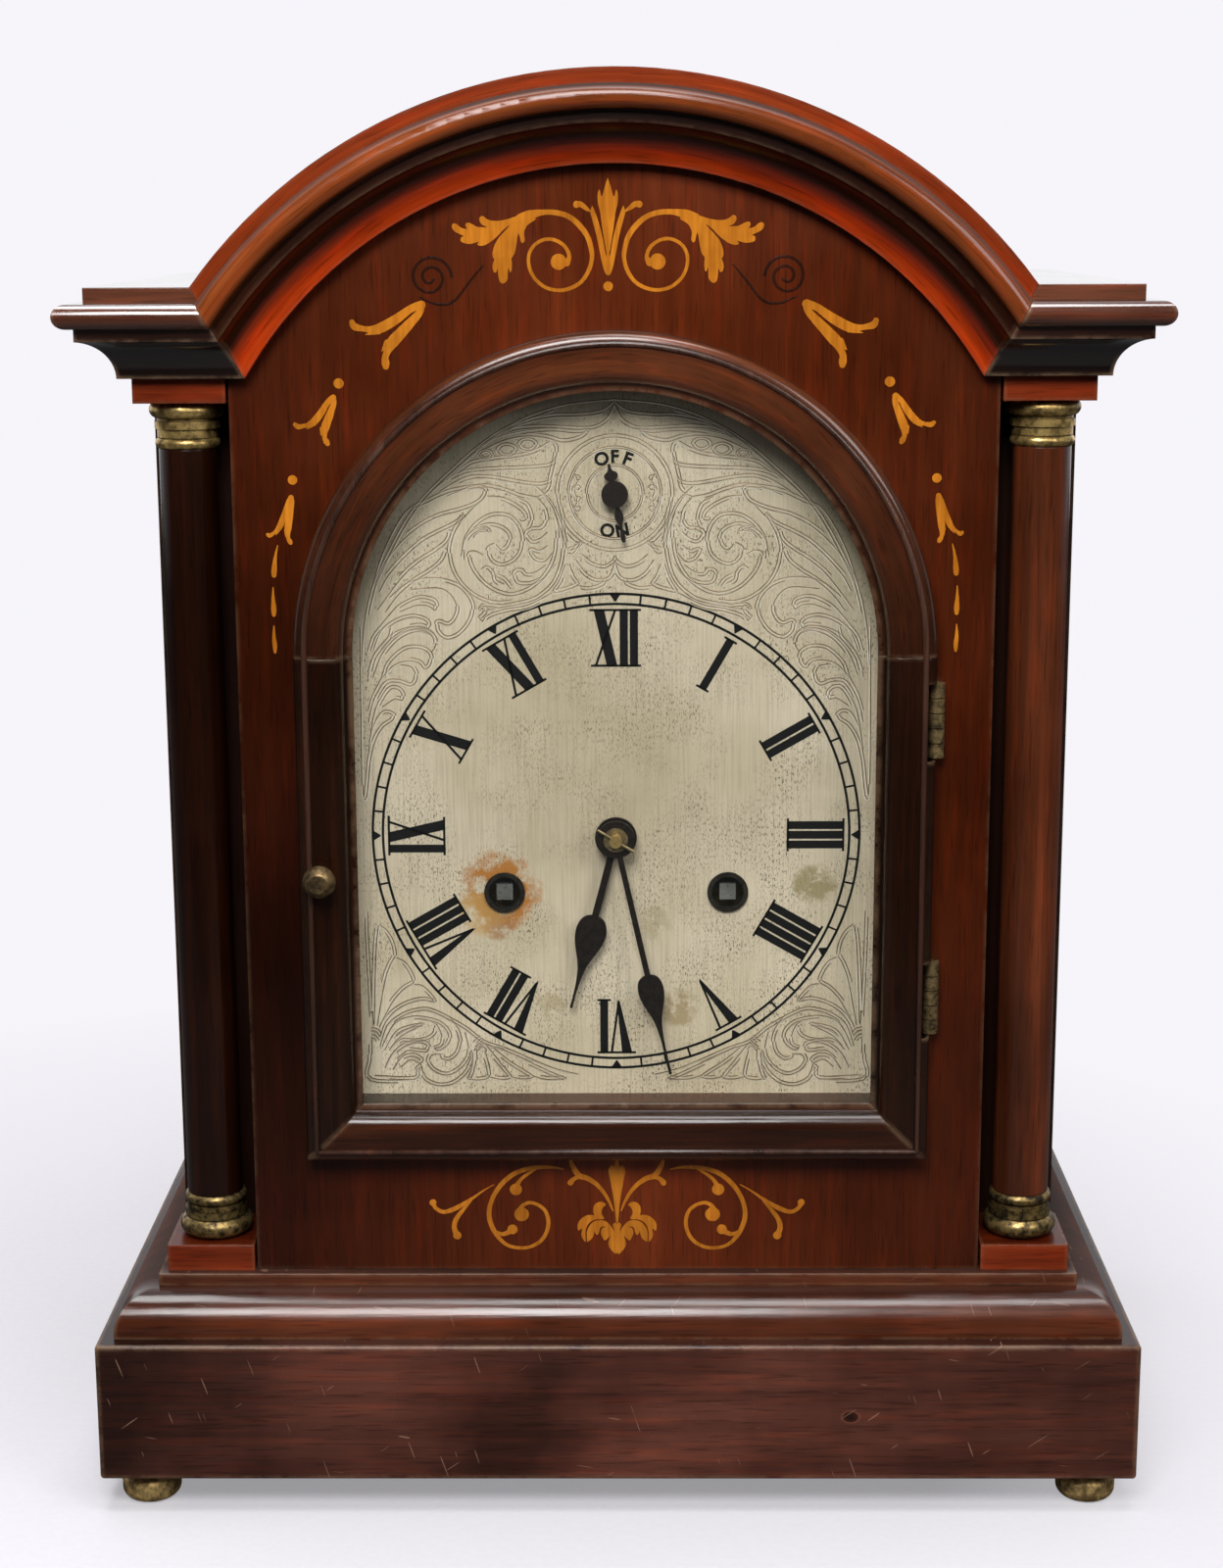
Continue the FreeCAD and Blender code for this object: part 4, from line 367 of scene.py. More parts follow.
APRON_STROKES = [
    [(-16.6, 104.8, 0.3), (-19.6, 105.4, 0.8), (-23.3, 105.5, 1.2), (-27.6, 105.0, 1.4), (-31.9, 103.4, 1.5),
     (-35.6, 100.3, 1.5), (-38.3, 96.4, 1.4), (-39.7, 92.5, 1.4), (-39.9, 89.1, 1.5), (-39.0, 85.7, 1.5),
     (-37.1, 82.3, 1.3), (-34.2, 79.7, 1.1), (-30.4, 78.8, 1.1), (-26.7, 79.4, 1.1), (-23.7, 81.4, 1.2),
     (-21.9, 84.5, 1.2), (-21.5, 88.0, 1.2), (-22.4, 91.1, 1.1), (-24.7, 93.1, 1.1), (-27.4, 93.8, 1.1),
     (-29.5, 92.8, 1.3), (-30.4, 91.1, 1.7)],
    [(-24.9, 104.9, 0.3), (-27.9, 103.2, 1.0), (-30.0, 101.4, 1.1), (-31.3, 99.2, 1.6)],
    [(-37.9, 84.3, 0.7), (-35.8, 83.4, 1.3), (-33.4, 84.3, 1.6)],
    [(-38.3, 99.8, 0.2), (-41.5, 97.9, 0.5), (-45.8, 94.8, 1.0), (-50.2, 92.1, 1.5), (-53.9, 90.8, 1.3),
     (-56.3, 91.8, 1.2), (-57.6, 93.9, 1.4)],
    [(-45.3, 94.5, 0.2), (-47.9, 91.7, 1.1), (-50.2, 88.5, 1.5), (-50.9, 85.7, 1.6), (-50.1, 83.1, 1.8)],
    [(-1.3, 91.2, 0.5), (-3.0, 95.3, 1.0), (-5.7, 99.2, 1.3), (-8.9, 101.7, 1.6), (-11.8, 102.8, 1.8),
     (-13.7, 105.8, 1.5), (-14.3, 107.5, 1.0)],
    [(-10.5, 102.4, 0.9), (-13.2, 101.8, 1.3), (-14.5, 100.4, 1.8)],
]
APRON_LEAVES = [
    [(0.1, 108.1), (-0.5, 107.2), (-0.9, 105.6), (-1.5, 106.1), (-2.2, 105.6), (-2.6, 104.2), (-2.3, 102.4),
     (-1.8, 99.6), (-1.1, 95.4), (-0.7, 92.2), (-0.4, 88.5), (0.0, 88.2)],
    [(-3.8, 88.4), (-5.5, 88.9), (-6.9, 89.6), (-9.3, 89.7), (-11.3, 88.4), (-12.3, 86.6), (-12.1, 84.6),
     (-11.0, 85.3), (-11.2, 83.2), (-10.6, 81.6), (-9.8, 81.0), (-9.9, 84.1), (-9.1, 86.6), (-7.5, 88.0),
     (-5.3, 88.5)],
    [(-9.4, 80.8), (-9.5, 84.0), (-8.6, 86.2), (-7.2, 87.6), (-5.3, 88.0), (-3.6, 87.7), (-2.3, 86.5),
     (-0.8, 84.4), (-1.3, 86.5), (0.0, 86.6), (0.0, 77.3), (-1.7, 78.0), (-2.7, 79.7), (-2.6, 81.3),
     (-2.1, 82.8), (-3.2, 81.8), (-4.0, 81.4), (-5.0, 83.3), (-5.0, 84.6), (-4.6, 85.4), (-3.5, 85.9),
     (-4.8, 85.9), (-5.4, 85.2), (-5.6, 84.1), (-6.2, 83.1), (-6.9, 83.9), (-7.1, 84.7), (-7.3, 83.3),
     (-8.0, 81.8)],
    [(-6.6, 88.6), (-7.4, 90.8), (-7.2, 92.7), (-6.2, 93.8), (-4.9, 94.1), (-3.8, 93.6), (-3.5, 93.0),
     (-4.2, 92.5), (-4.7, 91.5), (-4.8, 90.1), (-4.1, 88.6), (-5.3, 88.3)],
]
APRON_DOTS = [
    (-29.8, 90.0, 2.3),
    (-31.5, 98.2, 1.9),
    (-32.7, 85.0, 1.6),
    (-50.0, 83.0, 1.3),
    (-57.4, 93.9, 1.1),
]


def smooth_line(points, steps=6):
    """A smooth line through the given points; any further numbers of a point run along with it."""
    ends = [points[0], *points, points[-1]]
    line = []
    for before, start, stop, after in zip(ends, ends[1:], ends[2:], ends[3:]):
        for step in range(steps):
            t = step / steps
            line.append(tuple(
                0.5 * (2 * b + (c - a) * t + (2 * a - 5 * b + 4 * c - d) * t ** 2
                       + (3 * b - a - 3 * c + d) * t ** 3)
                for a, b, c, d in zip(before, start, stop, after)))
    return line + [points[-1]]


def both_edges(line):
    """The left and right edge of a tapering line of (x, z, width)."""
    left, right = [], []
    for k, (x, z, width) in enumerate(line):
        ahead, behind = line[min(k + 1, len(line) - 1)], line[max(k - 1, 0)]
        run = Vector((ahead[0] - behind[0], ahead[1] - behind[1])).normalized() * width / 2
        left.append((x - run.y, z + run.x))
        right.append((x + run.y, z - run.x))
    return left, right


def tapered(line):
    """A tapering line as a row of four-sided shapes."""
    left, right = both_edges(line)
    return [[left[k], right[k], right[k + 1], left[k + 1]] for k in range(len(line) - 1)]


def oval(x, z, wide, tall, sides):
    """A closed line round an oval."""
    turns = [math.tau * k / sides for k in range(sides + 1)]
    return [(x + wide * math.cos(turn), z + tall * math.sin(turn)) for turn in turns]


def round_spot(x, z, radius, sides=20):
    """The outline of a round spot."""
    return oval(x, z, radius, radius, sides)[:-1]


def spiral(x, z, radius, turn, steps, close):
    """A line that curls in towards its middle, which it would reach after the steps named by close."""
    reach = [radius * (1 - k / close) for k in range(steps)]
    return [(x + r * math.cos(turn * k), z + r * math.sin(turn * k)) for k, r in enumerate(reach)]


def twins(shapes, aside=0.0):
    """The shapes and their mirror image across the clock, set aside from its middle as they were laid."""
    return [[(side * x + aside, z) for x, z in shape] for side in (1, -1) for shape in shapes]


def loose_piece(name, points, faces, finishes, body, slots=None, smooth=False):
    """One piece from its points in millimetres and its faces, riding on a body of the clock."""
    mesh = bpy.data.meshes.new(name)
    mesh.from_pydata([[value * MILLIMETRE for value in point] for point in points], [], faces)
    for finish in finishes:
        mesh.materials.append(finish)
    mesh.polygons.foreach_set("material_index", slots or [0] * len(faces))
    mesh.polygons.foreach_set("use_smooth", [smooth] * len(faces))
    piece = bpy.data.objects.new(name, mesh)
    bpy.context.scene.collection.objects.link(piece)
    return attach(piece, body)


def let_in(name, shapes, face, proud, finish, step=0.0):
    """Flat shapes let into a front face of the case, each a hair prouder than the last, as one piece."""
    points, faces = [], []
    for shape in shapes:
        proud += step
        area = sum(a[0] * b[1] - b[0] * a[1] for a, b in zip(shape, shape[1:] + shape[:1]))
        around = shape if area > 0 else shape[::-1]
        first, count = len(points), len(around)
        for y in (face - proud, face + LET_IN_DEEP):
            points += [(x, y, z) for x, z in around]
        faces.append([first + k for k in range(count)])
        faces += [[first + k, first + count + k, first + count + (k + 1) % count, first + (k + 1) % count]
                  for k in range(count)]
    return loose_piece(name, points, faces, [finish], "case")


def satinwood(name):
    """Yellow satinwood with a fine upright grain."""
    finish, shader, add, join, ramp = shader_bench(name)
    place = add("TexCoord").outputs["Object"]
    fibre = drawn_out(add, place, (900, 900, 60))
    grain = noise(add, fibre, 1, 4)
    cloud = noise(add, place, 60, 4)
    wood = ramp(grain, [(0.3, (0.38, 0.116, 0.007)), (0.65, (0.55, 0.188, 0.015))])
    join(blend(add, "MULTIPLY", 0.8, wood, ramp(cloud, [(0.3, 0.55), (0.6, 1.0)])), "Base Color")
    join(ramp(grain, [(0.3, 0.24), (0.7, 0.18)]), "Roughness")
    shader.inputs["Specular IOR Level"].default_value = 0.25
    return finish


inlay_satinwood = satinwood("inlay_satinwood")
husks = []
for (x, z), one, other, size in HUSKS:
    for lobe in HUSK_LOBES:
        husks.append([(x + a * one[0] + b * other[0], z + a * one[1] + b * other[1], size * width)
                      for a, b, width in lobe])
for name, strokes, leaves, dots, aside in (
        ("crest_inlay", CREST_STROKES, CREST_LEAVES, CREST_DOTS, CREST_ASIDE),
        ("husk_inlay", husks + DROP_STROKES, [], HUSK_DOTS, 0.0),
        ("apron_inlay", APRON_STROKES, APRON_LEAVES, APRON_DOTS, 0.0)):
    shapes = [part for stroke in strokes for part in tapered(smooth_line(stroke))]
    shapes += [smooth_line(leaf + leaf[:1], 3)[:-1] for leaf in leaves]
    shapes += [round_spot(*dot) for dot in dots]
    shapes += [round_spot(*stroke[end][:2], stroke[end][2] / 2, 12) for stroke in strokes for end in (0, -1)]
    let_in(name, twins(shapes, aside), PANEL_FRONT, INLAY_PROUD, inlay_satinwood, INLAY_STEP)
curl = [(x, z, CURL_WIDTH) for x, z in spiral(*CURL_PLACE, CURL_ROUND, CURL_TURN, 38, 44)]
curls = twins(tapered(curl) + tapered(smooth_line(CURL_TAIL)), CREST_ASIDE)
dark_wood = mahogany("curl_mahogany", (0.018, 0.005, 0.002), (0.026, 0.007, 0.003), (0.036, 0.01, 0.004),
                     "z", 0.18, 0.0, gloss=0.2)
let_in("darkened_curls", curls, PANEL_FRONT, INLAY_PROUD, dark_wood, INLAY_STEP)

# Cornice: one moulding worked with a bead, a fillet and a hollow, in three mitred lengths;
# the arched length is bent round the front and its hollow is stained red.

# By radius: the lower hollow is stained red, the upper hollow under the bead has painted shade, and a painted
# shadow line runs where the bead meets the roof. The arch is also painted darker at its head and lighter
# towards its ends.
dress(mahogany("arch_mahogany", (0.09, 0.017, 0.004), (0.2, 0.043, 0.009), (0.31, 0.08, 0.019),
               "arch", 0.12, 0.1, gloss=0.35,
               stain_and_shade=(0.1245, 0.1475,
                     [(0.0, (1.75, 0.75, 0.25)), (0.2, (1.4, 0.5, 0.2)), (0.38, 0.12), (0.64, 0.12),
                      (0.7, 1.0), (0.86, 1.1), (0.95, 0.3)],
                     [(0.0, 0.22), (0.6, 0.22), (0.66, 0.1), (0.89, 0.1), (0.94, 0.95)]),
               painted_light_and_dirt=[((0, -0.1, 0.43), (5, 0, 5), [(0.1, 0.6), (0.55, 1.0), (1.0, 1.3)])]), "arch_moulding")
# The bead front is painted lighter, and the hollow under it is painted dark for its shade.
dress(mahogany("wing_mahogany", (0.012, 0.005, 0.003), (0.028, 0.01, 0.006), (0.046, 0.016, 0.009),
               "x", 0.13, 0.3, gloss=0.5, coat=1.0,
               painted_light_and_dirt=[((0, 0, 0.372), (0, 0, 60), [(0.4, (2.8, 2.2, 1.8)), (0.75, 0.25)])]),
      "wing_moulding_left", "wing_moulding_right")

# Roof: thin mahogany boards glued over the case, the middle one bent to the arch behind the cornice.
# The two flat ones over the wings keep a bright polish.

dress(mahogany("roof_mahogany", (0.08, 0.009, 0.001), (0.16, 0.019, 0.002), (0.26, 0.038, 0.004),
               "arch", 0.4, 0.1, gloss=0.06), "roof_arch")
dress(mahogany("wing_top_mahogany", (0.06, 0.021, 0.01), (0.12, 0.038, 0.019), (0.18, 0.06, 0.03),
               "x", 0.06, 0.0, gloss=0.5, coat=1.0), "wing_top_left", "wing_top_right")

# Back: a plain mahogany frame with a board door let into it, and the seat board across the case.
# They were only oiled, so they are paler and dull.

dress(mahogany("back_mahogany", (0.06, 0.022, 0.01), (0.13, 0.05, 0.022), (0.19, 0.08, 0.036),
               "z", 0.5, 0.3), "back_frame", "back_door", "seat_board")
dress(tarnished("back_fitting_brass", (0.5, 0.36, 0.13), (0.15, 0.1, 0.045), 0.32), "back_hinge_fixed",
      "back_hinge_swing", "back_door_knob")

# Movement: two brass plates on turned pillars hold the going and strike trains between them,
# with the motion work on the front plate. The plates are grained, the wheels cut and crossed.

dress(tarnished("plate_brass", (0.72, 0.52, 0.2), (0.5, 0.34, 0.12), 0.26, 160), "front_plate", "back_plate",
      "plate_pillars", "centre_wheel", "third_wheel", "escape_wheel", "pin_wheel",
      "warning_wheel", "fly", "cannon_pinion", "minute_wheel", "hour_wheel", "pendulum_bob", "hammer")
dress(tarnished("barrel_brass", (0.72, 0.52, 0.2), (0.5, 0.34, 0.12), 0.26, 160,
                tip=(-0.056, (0.36, 0.36, 0.33))), "going_barrel", "strike_barrel")
dress(tarnished("work_steel", (0.42, 0.42, 0.43), (0.24, 0.23, 0.22), 0.28, 200),
      "anchor", "pendulum_rod", "gong_rods")
dress(tarnished("gong_iron", (0.1, 0.1, 0.1), (0.04, 0.038, 0.036), 0.5, 300), "gong_block")

# Dial: one brass plate with an arched top, silvered and lacquered. The leaf scrolls round the
# chapter ring are cut with a graver, the hours and minute track are cut and filled with black wax.

DIAL_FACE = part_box("dial_plate")[0].y / MILLIMETRE
DIAL_MIDDLE = 208.7
STRIKE_MIDDLE = 313.6
ARCH_SPRING = 267.0
STAINS = [
    (-35.8, 190.8, 16.5, (0.4, 0.15, 0.015, 1), 0.95),
    (-36.5, 180.0, 6.5, (0.3, 0.12, 0.03, 1), 0.7),
    (-41.0, 185.0, 11.0, (0.5, 0.3, 0.09, 1), 0.6),
    (61.0, 193.0, 9.0, (0.27, 0.22, 0.09, 1), 0.8),
    (19.0, 153.5, 8.5, (0.3, 0.22, 0.1, 1), 0.75),
    (-21.0, 154.0, 7.0, (0.36, 0.29, 0.15, 1), 0.6),
    (12.0, 181.0, 7.0, (0.35, 0.29, 0.16, 1), 0.5),
]
SCROLL_WIDTH, RING_WIDTH, CUT_DEEP = 0.66, 0.6, 0.08
ECHO_APART, ECHO_SHORTER = 1.9, 6
STRIKE_RINGS = (17.6, 16.6, 14.0, 13.4, 8.6, 8.0)
STRIKE_CURLS, STRIKE_CURL_OUT, STRIKE_CURL_ROUND, STRIKE_STEM_OUT = (-4.4, -1.5, 1.5, 4.4), 11.1, 1.25, 11.6
TRACK_RINGS, TRACK_SIDES = ((75.1, 74.3), (72.0, 71.2)), 180
MINUTE_MARK = [(-0.32, 71.6), (0.32, 71.6), (0.32, 74.7), (-0.32, 74.7)]
FIVE_MINUTE_MARK = [(-1.7, 74.7), (-0.2, 72.3), (0.2, 72.3), (1.7, 74.7)]
WAX_PROUD = 0.03
DIAL_SCROLLS = [
    [(-76.8, 261.4), (-76.0, 271.8), (-74.3, 281.0), (-71.1, 290.1), (-60.3, 309.3), (-45.1, 324.2),
     (-36.7, 330.7), (-29.5, 334.8), (-21.8, 338.0), (-12.8, 340.3), (0.0, 341.5)],
    [(-54.8, 314.1), (-35.5, 330.7), (-27.7, 335.1), (-18.8, 337.1), (-10.5, 337.4), (-3.9, 338.3),
     (-0.4, 340.6)],
    [(-41.5, 326.5), (-32.5, 332.4), (-23.6, 333.9), (-14.7, 333.6), (-6.9, 333.5), (-2.2, 335.9),
     (0.0, 340.0)],
    [(-42.1, 326.8), (-35.5, 330.1), (-27.8, 332.1), (-18.8, 333.0), (-11.7, 332.4), (-7.5, 332.7),
     (-8.7, 330.6), (-11.7, 329.3), (-15.9, 328.8), (-20.0, 330.0), (-26.0, 330.6), (-32.5, 329.5),
     (-39.1, 326.5)],
    [(-50.0, 317.6), (-45.1, 321.8), (-40.3, 323.9), (-26.0, 325.9), (-19.1, 329.1)],
    [(-20.0, 330.0), (-17.7, 328.8), (-17.0, 325.9), (-18.6, 318.7), (-18.9, 316.4), (-20.1, 314.0),
     (-23.1, 312.5)],
    [(-54.2, 314.7), (-47.6, 319.4), (-40.4, 321.2), (-23.6, 322.0), (-18.6, 322.9), (-17.4, 324.7)],
    [(-52.4, 314.1), (-45.2, 318.2), (-38.0, 319.1), (-24.9, 317.0), (-20.1, 317.3), (-18.6, 318.7)],
    [(-50.0, 312.9), (-42.8, 315.8), (-38.0, 316.4), (-32.7, 315.2), (-27.9, 313.4), (-23.1, 312.5)],
    [(-74.6, 280.4), (-69.5, 296.1), (-62.7, 308.1), (-56.6, 311.7), (-50.0, 314.7), (-42.8, 316.1),
     (-38.9, 315.8), (-38.2, 314.0), (-39.6, 311.6), (-42.3, 309.9), (-46.5, 308.4), (-52.5, 306.8),
     (-58.6, 303.6), (-64.0, 299.1), (-68.9, 293.1), (-72.1, 286.4)],
    [(-45.9, 307.8), (-45.2, 306.9), (-47.7, 304.4), (-58.0, 299.0), (-67.2, 290.1), (-70.9, 284.0)],
    [(-49.9, 302.7), (-49.0, 302.0), (-50.2, 299.1), (-53.9, 296.1), (-58.7, 293.1), (-64.2, 288.2),
     (-71.6, 278.5)],
    [(-51.1, 297.3), (-50.5, 296.1), (-52.1, 293.0), (-55.8, 290.0), (-60.6, 287.0), (-65.5, 282.8),
     (-69.2, 277.9)],
    [(-39.6, 311.6), (-42.9, 308.7), (-46.5, 304.5), (-48.7, 299.7), (-49.2, 294.8), (-47.9, 290.0),
     (-45.0, 285.8), (-40.8, 282.7), (-36.0, 281.2), (-31.1, 281.5)],
    [(-38.1, 312.8), (-33.9, 312.5), (-29.4, 310.4), (-26.7, 308.0), (-26.4, 305.9), (-27.9, 305.3),
     (-28.8, 305.9)],
    [(-45.5, 293.9), (-45.4, 299.1), (-43.0, 303.6), (-39.3, 306.7), (-35.7, 307.9), (-31.5, 307.3),
     (-28.6, 304.4), (-27.3, 300.2), (-27.9, 296.0), (-30.4, 293.0), (-34.1, 291.7), (-37.1, 293.0),
     (-38.5, 295.7), (-38.1, 297.7), (-36.1, 298.7)],
    [(-46.1, 294.8), (-44.7, 300.1), (-41.8, 303.0), (-38.8, 303.7), (-37.3, 302.3), (-40.6, 302.1),
     (-42.4, 300.3)],
    [(-42.4, 303.3), (-38.1, 304.7), (-34.6, 304.3), (-31.9, 302.5), (-31.0, 299.9), (-32.1, 297.3),
     (-34.0, 296.5), (-35.8, 298.3)],
    [(-29.4, 312.5), (-25.8, 310.4), (-24.4, 305.6), (-25.7, 302.6)],
    [(-23.1, 312.2), (-20.7, 309.2), (-20.0, 305.6), (-21.7, 302.9), (-24.7, 302.5), (-26.1, 301.3),
     (-24.7, 299.5), (-22.3, 300.1), (-20.1, 302.0)],
    [(-18.7, 295.7), (-21.1, 293.0), (-24.1, 293.4), (-25.9, 295.9), (-25.0, 297.2), (-22.6, 296.5),
     (-20.1, 297.9)],
    [(-17.8, 292.3), (-20.9, 288.4), (-25.1, 286.2), (-29.3, 286.3), (-30.8, 288.7), (-29.9, 290.8),
     (-27.8, 290.9), (-26.6, 289.6), (-23.9, 289.9), (-20.7, 292.0)],
    [(-21.9, 314.0), (-18.6, 309.2), (-17.1, 303.8), (-17.1, 297.8), (-18.4, 292.6), (-21.5, 287.8),
     (-25.7, 284.5), (-30.5, 282.8), (-34.7, 283.4), (-38.9, 285.7), (-42.5, 289.7), (-44.2, 293.6),
     (-43.9, 296.0), (-41.8, 296.3), (-39.7, 295.1)],
    [(-40.1, 290.9), (-38.3, 291.8), (-36.5, 290.0), (-35.9, 287.6), (-33.5, 286.3)],
    [(-35.3, 289.4), (-32.9, 288.1), (-31.1, 285.7)],
    [(-23.7, 315.8), (-18.9, 311.0), (-16.0, 304.4), (-14.8, 298.4), (-15.7, 292.0), (-17.8, 286.9),
     (-21.5, 283.1), (-26.3, 280.7), (-38.4, 278.4), (-39.9, 277.5)],
    [(-40.0, 274.8), (-41.2, 276.3), (-39.9, 277.5), (-39.3, 278.8), (-41.1, 278.5), (-39.9, 280.3),
     (-37.2, 280.3), (-33.0, 280.0), (-26.3, 281.5)],
    [(-40.0, 274.8), (-38.4, 276.9), (-33.0, 278.7), (-26.3, 279.9), (-18.8, 283.6)],
    [(-16.6, 305.6), (-11.8, 300.2), (-10.3, 299.0), (-12.4, 295.6), (-14.2, 295.7)],
    [(-13.9, 297.2), (-11.5, 298.1), (-10.3, 299.3)],
    [(-10.0, 295.3), (-7.0, 292.9), (-3.4, 292.0), (-0.7, 293.5), (0.0, 295.0)],
    [(-11.8, 293.5), (-8.8, 289.6), (-5.2, 287.8), (-1.6, 288.7), (0.0, 292.9)],
    [(-13.9, 292.3), (-12.4, 288.7), (-11.2, 285.8), (-18.5, 283.7), (-16.6, 287.5), (-14.8, 292.3)],
    [(-11.2, 285.8), (-7.6, 285.4), (-4.0, 286.6), (-3.4, 287.8)],
    [(-67.9, 282.2), (-63.0, 286.4), (-57.0, 288.2), (-51.0, 287.9), (-46.2, 285.8), (-43.2, 282.1),
     (-42.5, 277.9), (-44.4, 273.6), (-47.6, 270.5), (-51.2, 269.6), (-53.9, 271.8), (-54.3, 274.8),
     (-52.9, 275.6), (-50.5, 274.8), (-48.6, 276.6), (-47.9, 279.7), (-49.8, 283.3), (-53.4, 285.2),
     (-61.6, 284.6)],
    [(-72.4, 271.8), (-66.8, 278.5), (-63.7, 281.0), (-58.9, 282.9), (-54.7, 282.1), (-53.4, 280.2),
     (-54.4, 278.4), (-56.5, 279.7), (-60.1, 279.8), (-65.0, 277.9)],
    [(-73.1, 266.3), (-70.5, 272.4), (-66.2, 275.8), (-61.4, 277.2), (-57.5, 276.4), (-55.9, 274.7),
     (-56.5, 272.7), (-59.0, 273.5), (-63.9, 272.4), (-68.8, 268.8)],
    [(-75.0, 259.6), (-72.5, 265.7), (-67.5, 271.1), (-62.0, 273.3), (-57.2, 272.9), (-54.7, 271.0),
     (-54.1, 268.0), (-55.4, 265.7)],
    [(-14.8, 297.2), (-16.0, 302.0), (-16.3, 306.8), (-17.1, 311.0)],
    [(-74.9, 265.9), (-73.4, 270.4), (-71.2, 273.4)],
    [(-75.0, 257.8), (-73.2, 264.4), (-68.9, 269.8), (-67.7, 273.4)],
    [(-73.3, 258.4), (-70.2, 265.6), (-65.4, 270.7), (-60.0, 272.8), (-55.8, 271.9), (-54.0, 269.5),
     (-54.7, 266.5)],
    [(-75.2, 247.5), (-73.7, 252.4), (-70.9, 257.8), (-69.1, 262.6), (-64.2, 267.1), (-59.5, 267.7),
     (-56.2, 266.2), (-55.3, 263.8), (-56.3, 261.1), (-58.1, 260.5), (-59.6, 262.3), (-63.1, 262.9),
     (-67.3, 261.4), (-71.6, 256.6)],
    [(-75.1, 243.9), (-73.5, 250.5), (-69.8, 256.6), (-65.6, 257.2), (-62.2, 256.1), (-60.8, 258.4),
     (-62.0, 261.1), (-65.2, 261.7)],
    [(-74.6, 239.6), (-72.9, 248.1), (-69.2, 254.5), (-66.2, 255.2), (-64.2, 253.2), (-64.8, 250.8),
     (-67.2, 251.1), (-70.8, 248.7)],
    [(-75.2, 235.3), (-74.2, 241.4), (-71.7, 246.6), (-69.3, 247.8), (-67.1, 246.5), (-67.9, 244.5),
     (-70.6, 242.6), (-73.1, 238.4), (-74.7, 232.3), (-75.4, 226.2), (-76.2, 220.6), (-77.3, 220.6),
     (-77.5, 228.6), (-77.0, 273.4)],
    [(-77.1, 184.6), (-76.8, 168.9), (-76.1, 147.7)],
    [(-73.4, 180.0), (-74.4, 171.5), (-75.5, 148.3)],
    [(-73.4, 180.2), (-71.0, 178.3), (-69.1, 174.7), (-68.5, 170.5), (-70.1, 167.3), (-72.0, 161.5),
     (-74.6, 147.7)],
    [(-68.6, 169.7), (-65.9, 168.4), (-63.7, 165.2), (-62.9, 161.8), (-66.2, 159.4), (-69.8, 155.1),
     (-74.0, 147.1)],
    [(-62.9, 161.0), (-60.0, 160.3), (-56.3, 155.6), (-60.7, 155.9), (-65.3, 154.6), (-69.4, 152.0),
     (-72.3, 148.2), (-73.6, 144.5)],
    [(-73.9, 140.8), (-71.5, 147.7), (-67.4, 151.4), (-62.2, 153.3), (-57.1, 153.0), (-47.5, 147.7),
     (-41.4, 142.9), (-34.3, 140.2), (-20.6, 134.0), (-11.9, 131.6)],
    [(-73.2, 140.8), (-69.4, 148.2), (-64.3, 150.6), (-59.2, 150.4), (-54.6, 148.8), (-52.0, 145.6),
     (-52.1, 142.4), (-54.3, 140.1), (-56.3, 139.6), (-57.1, 140.8), (-55.3, 141.6), (-54.7, 144.0),
     (-56.1, 147.7), (-57.7, 148.8)],
    [(-52.1, 150.3), (-49.5, 146.6), (-48.5, 142.4), (-49.6, 138.6), (-52.3, 136.4), (-54.8, 136.9),
     (-55.3, 138.1)],
    [(-72.4, 139.7), (-69.0, 145.6), (-64.9, 147.7), (-60.0, 148.2), (-67.0, 144.4), (-70.3, 140.8)],
    [(-71.1, 139.7), (-67.5, 143.2), (-62.9, 143.3), (-59.3, 144.0), (-57.2, 145.6), (-57.0, 147.7)],
    [(-72.5, 133.8), (-70.1, 138.6), (-66.5, 141.8), (-61.9, 143.0), (-58.7, 141.8), (-59.1, 139.3),
     (-61.4, 139.1), (-65.5, 139.4), (-68.6, 136.8)],
    [(-70.0, 133.3), (-67.1, 137.5), (-63.5, 138.6), (-60.8, 137.0), (-61.5, 135.3), (-64.5, 136.5),
     (-67.6, 134.1)],
    [(-54.8, 138.2), (-57.6, 138.1), (-58.5, 136.0), (-56.9, 133.7), (-53.8, 132.4), (-50.8, 133.3),
     (-47.6, 136.5), (-46.5, 140.2), (-47.5, 145.6)],
    [(-61.5, 135.2), (-60.8, 132.5), (-59.3, 130.3), (-55.9, 128.9), (-51.8, 129.4), (-48.1, 132.2),
     (-46.0, 135.9), (-45.2, 139.7)],
    [(-76.6, 145.9), (-74.9, 145.3), (-74.0, 144.0)],
    [(-76.6, 147.1), (-74.6, 146.5), (-73.7, 145.2)],
    [(-76.7, 144.6), (-75.1, 144.1), (-74.3, 142.8)],
    [(-76.7, 144.0), (-76.7, 137.0), (-76.9, 130.5), (-63.6, 130.0)],
    [(-75.9, 131.4), (-63.6, 131.0), (-63.0, 133.8), (-61.5, 135.2)],
    [(-44.0, 140.2), (-44.0, 135.4), (-45.4, 130.6), (-46.6, 130.2), (-45.4, 133.8), (-44.8, 139.1)],
    [(-41.4, 139.7), (-40.2, 134.9), (-39.9, 130.8), (-43.1, 129.8), (-45.6, 130.0)],
    [(-39.9, 140.1), (-36.4, 135.4), (-33.1, 130.8), (-36.5, 130.0), (-39.9, 130.8)],
    [(-38.8, 140.5), (-33.3, 135.9), (-26.5, 131.2), (-29.3, 130.1), (-33.1, 130.8)],
    [(-37.4, 140.7), (-20.6, 132.4), (-16.0, 130.3), (-22.1, 130.0), (-26.5, 131.2)],
    [(-44.8, 142.3), (-42.5, 144.4)],
    [(-44.3, 140.6), (-41.3, 143.1)],
    [(-44.5, 139.7), (-41.9, 141.8), (-39.9, 140.1)],
]
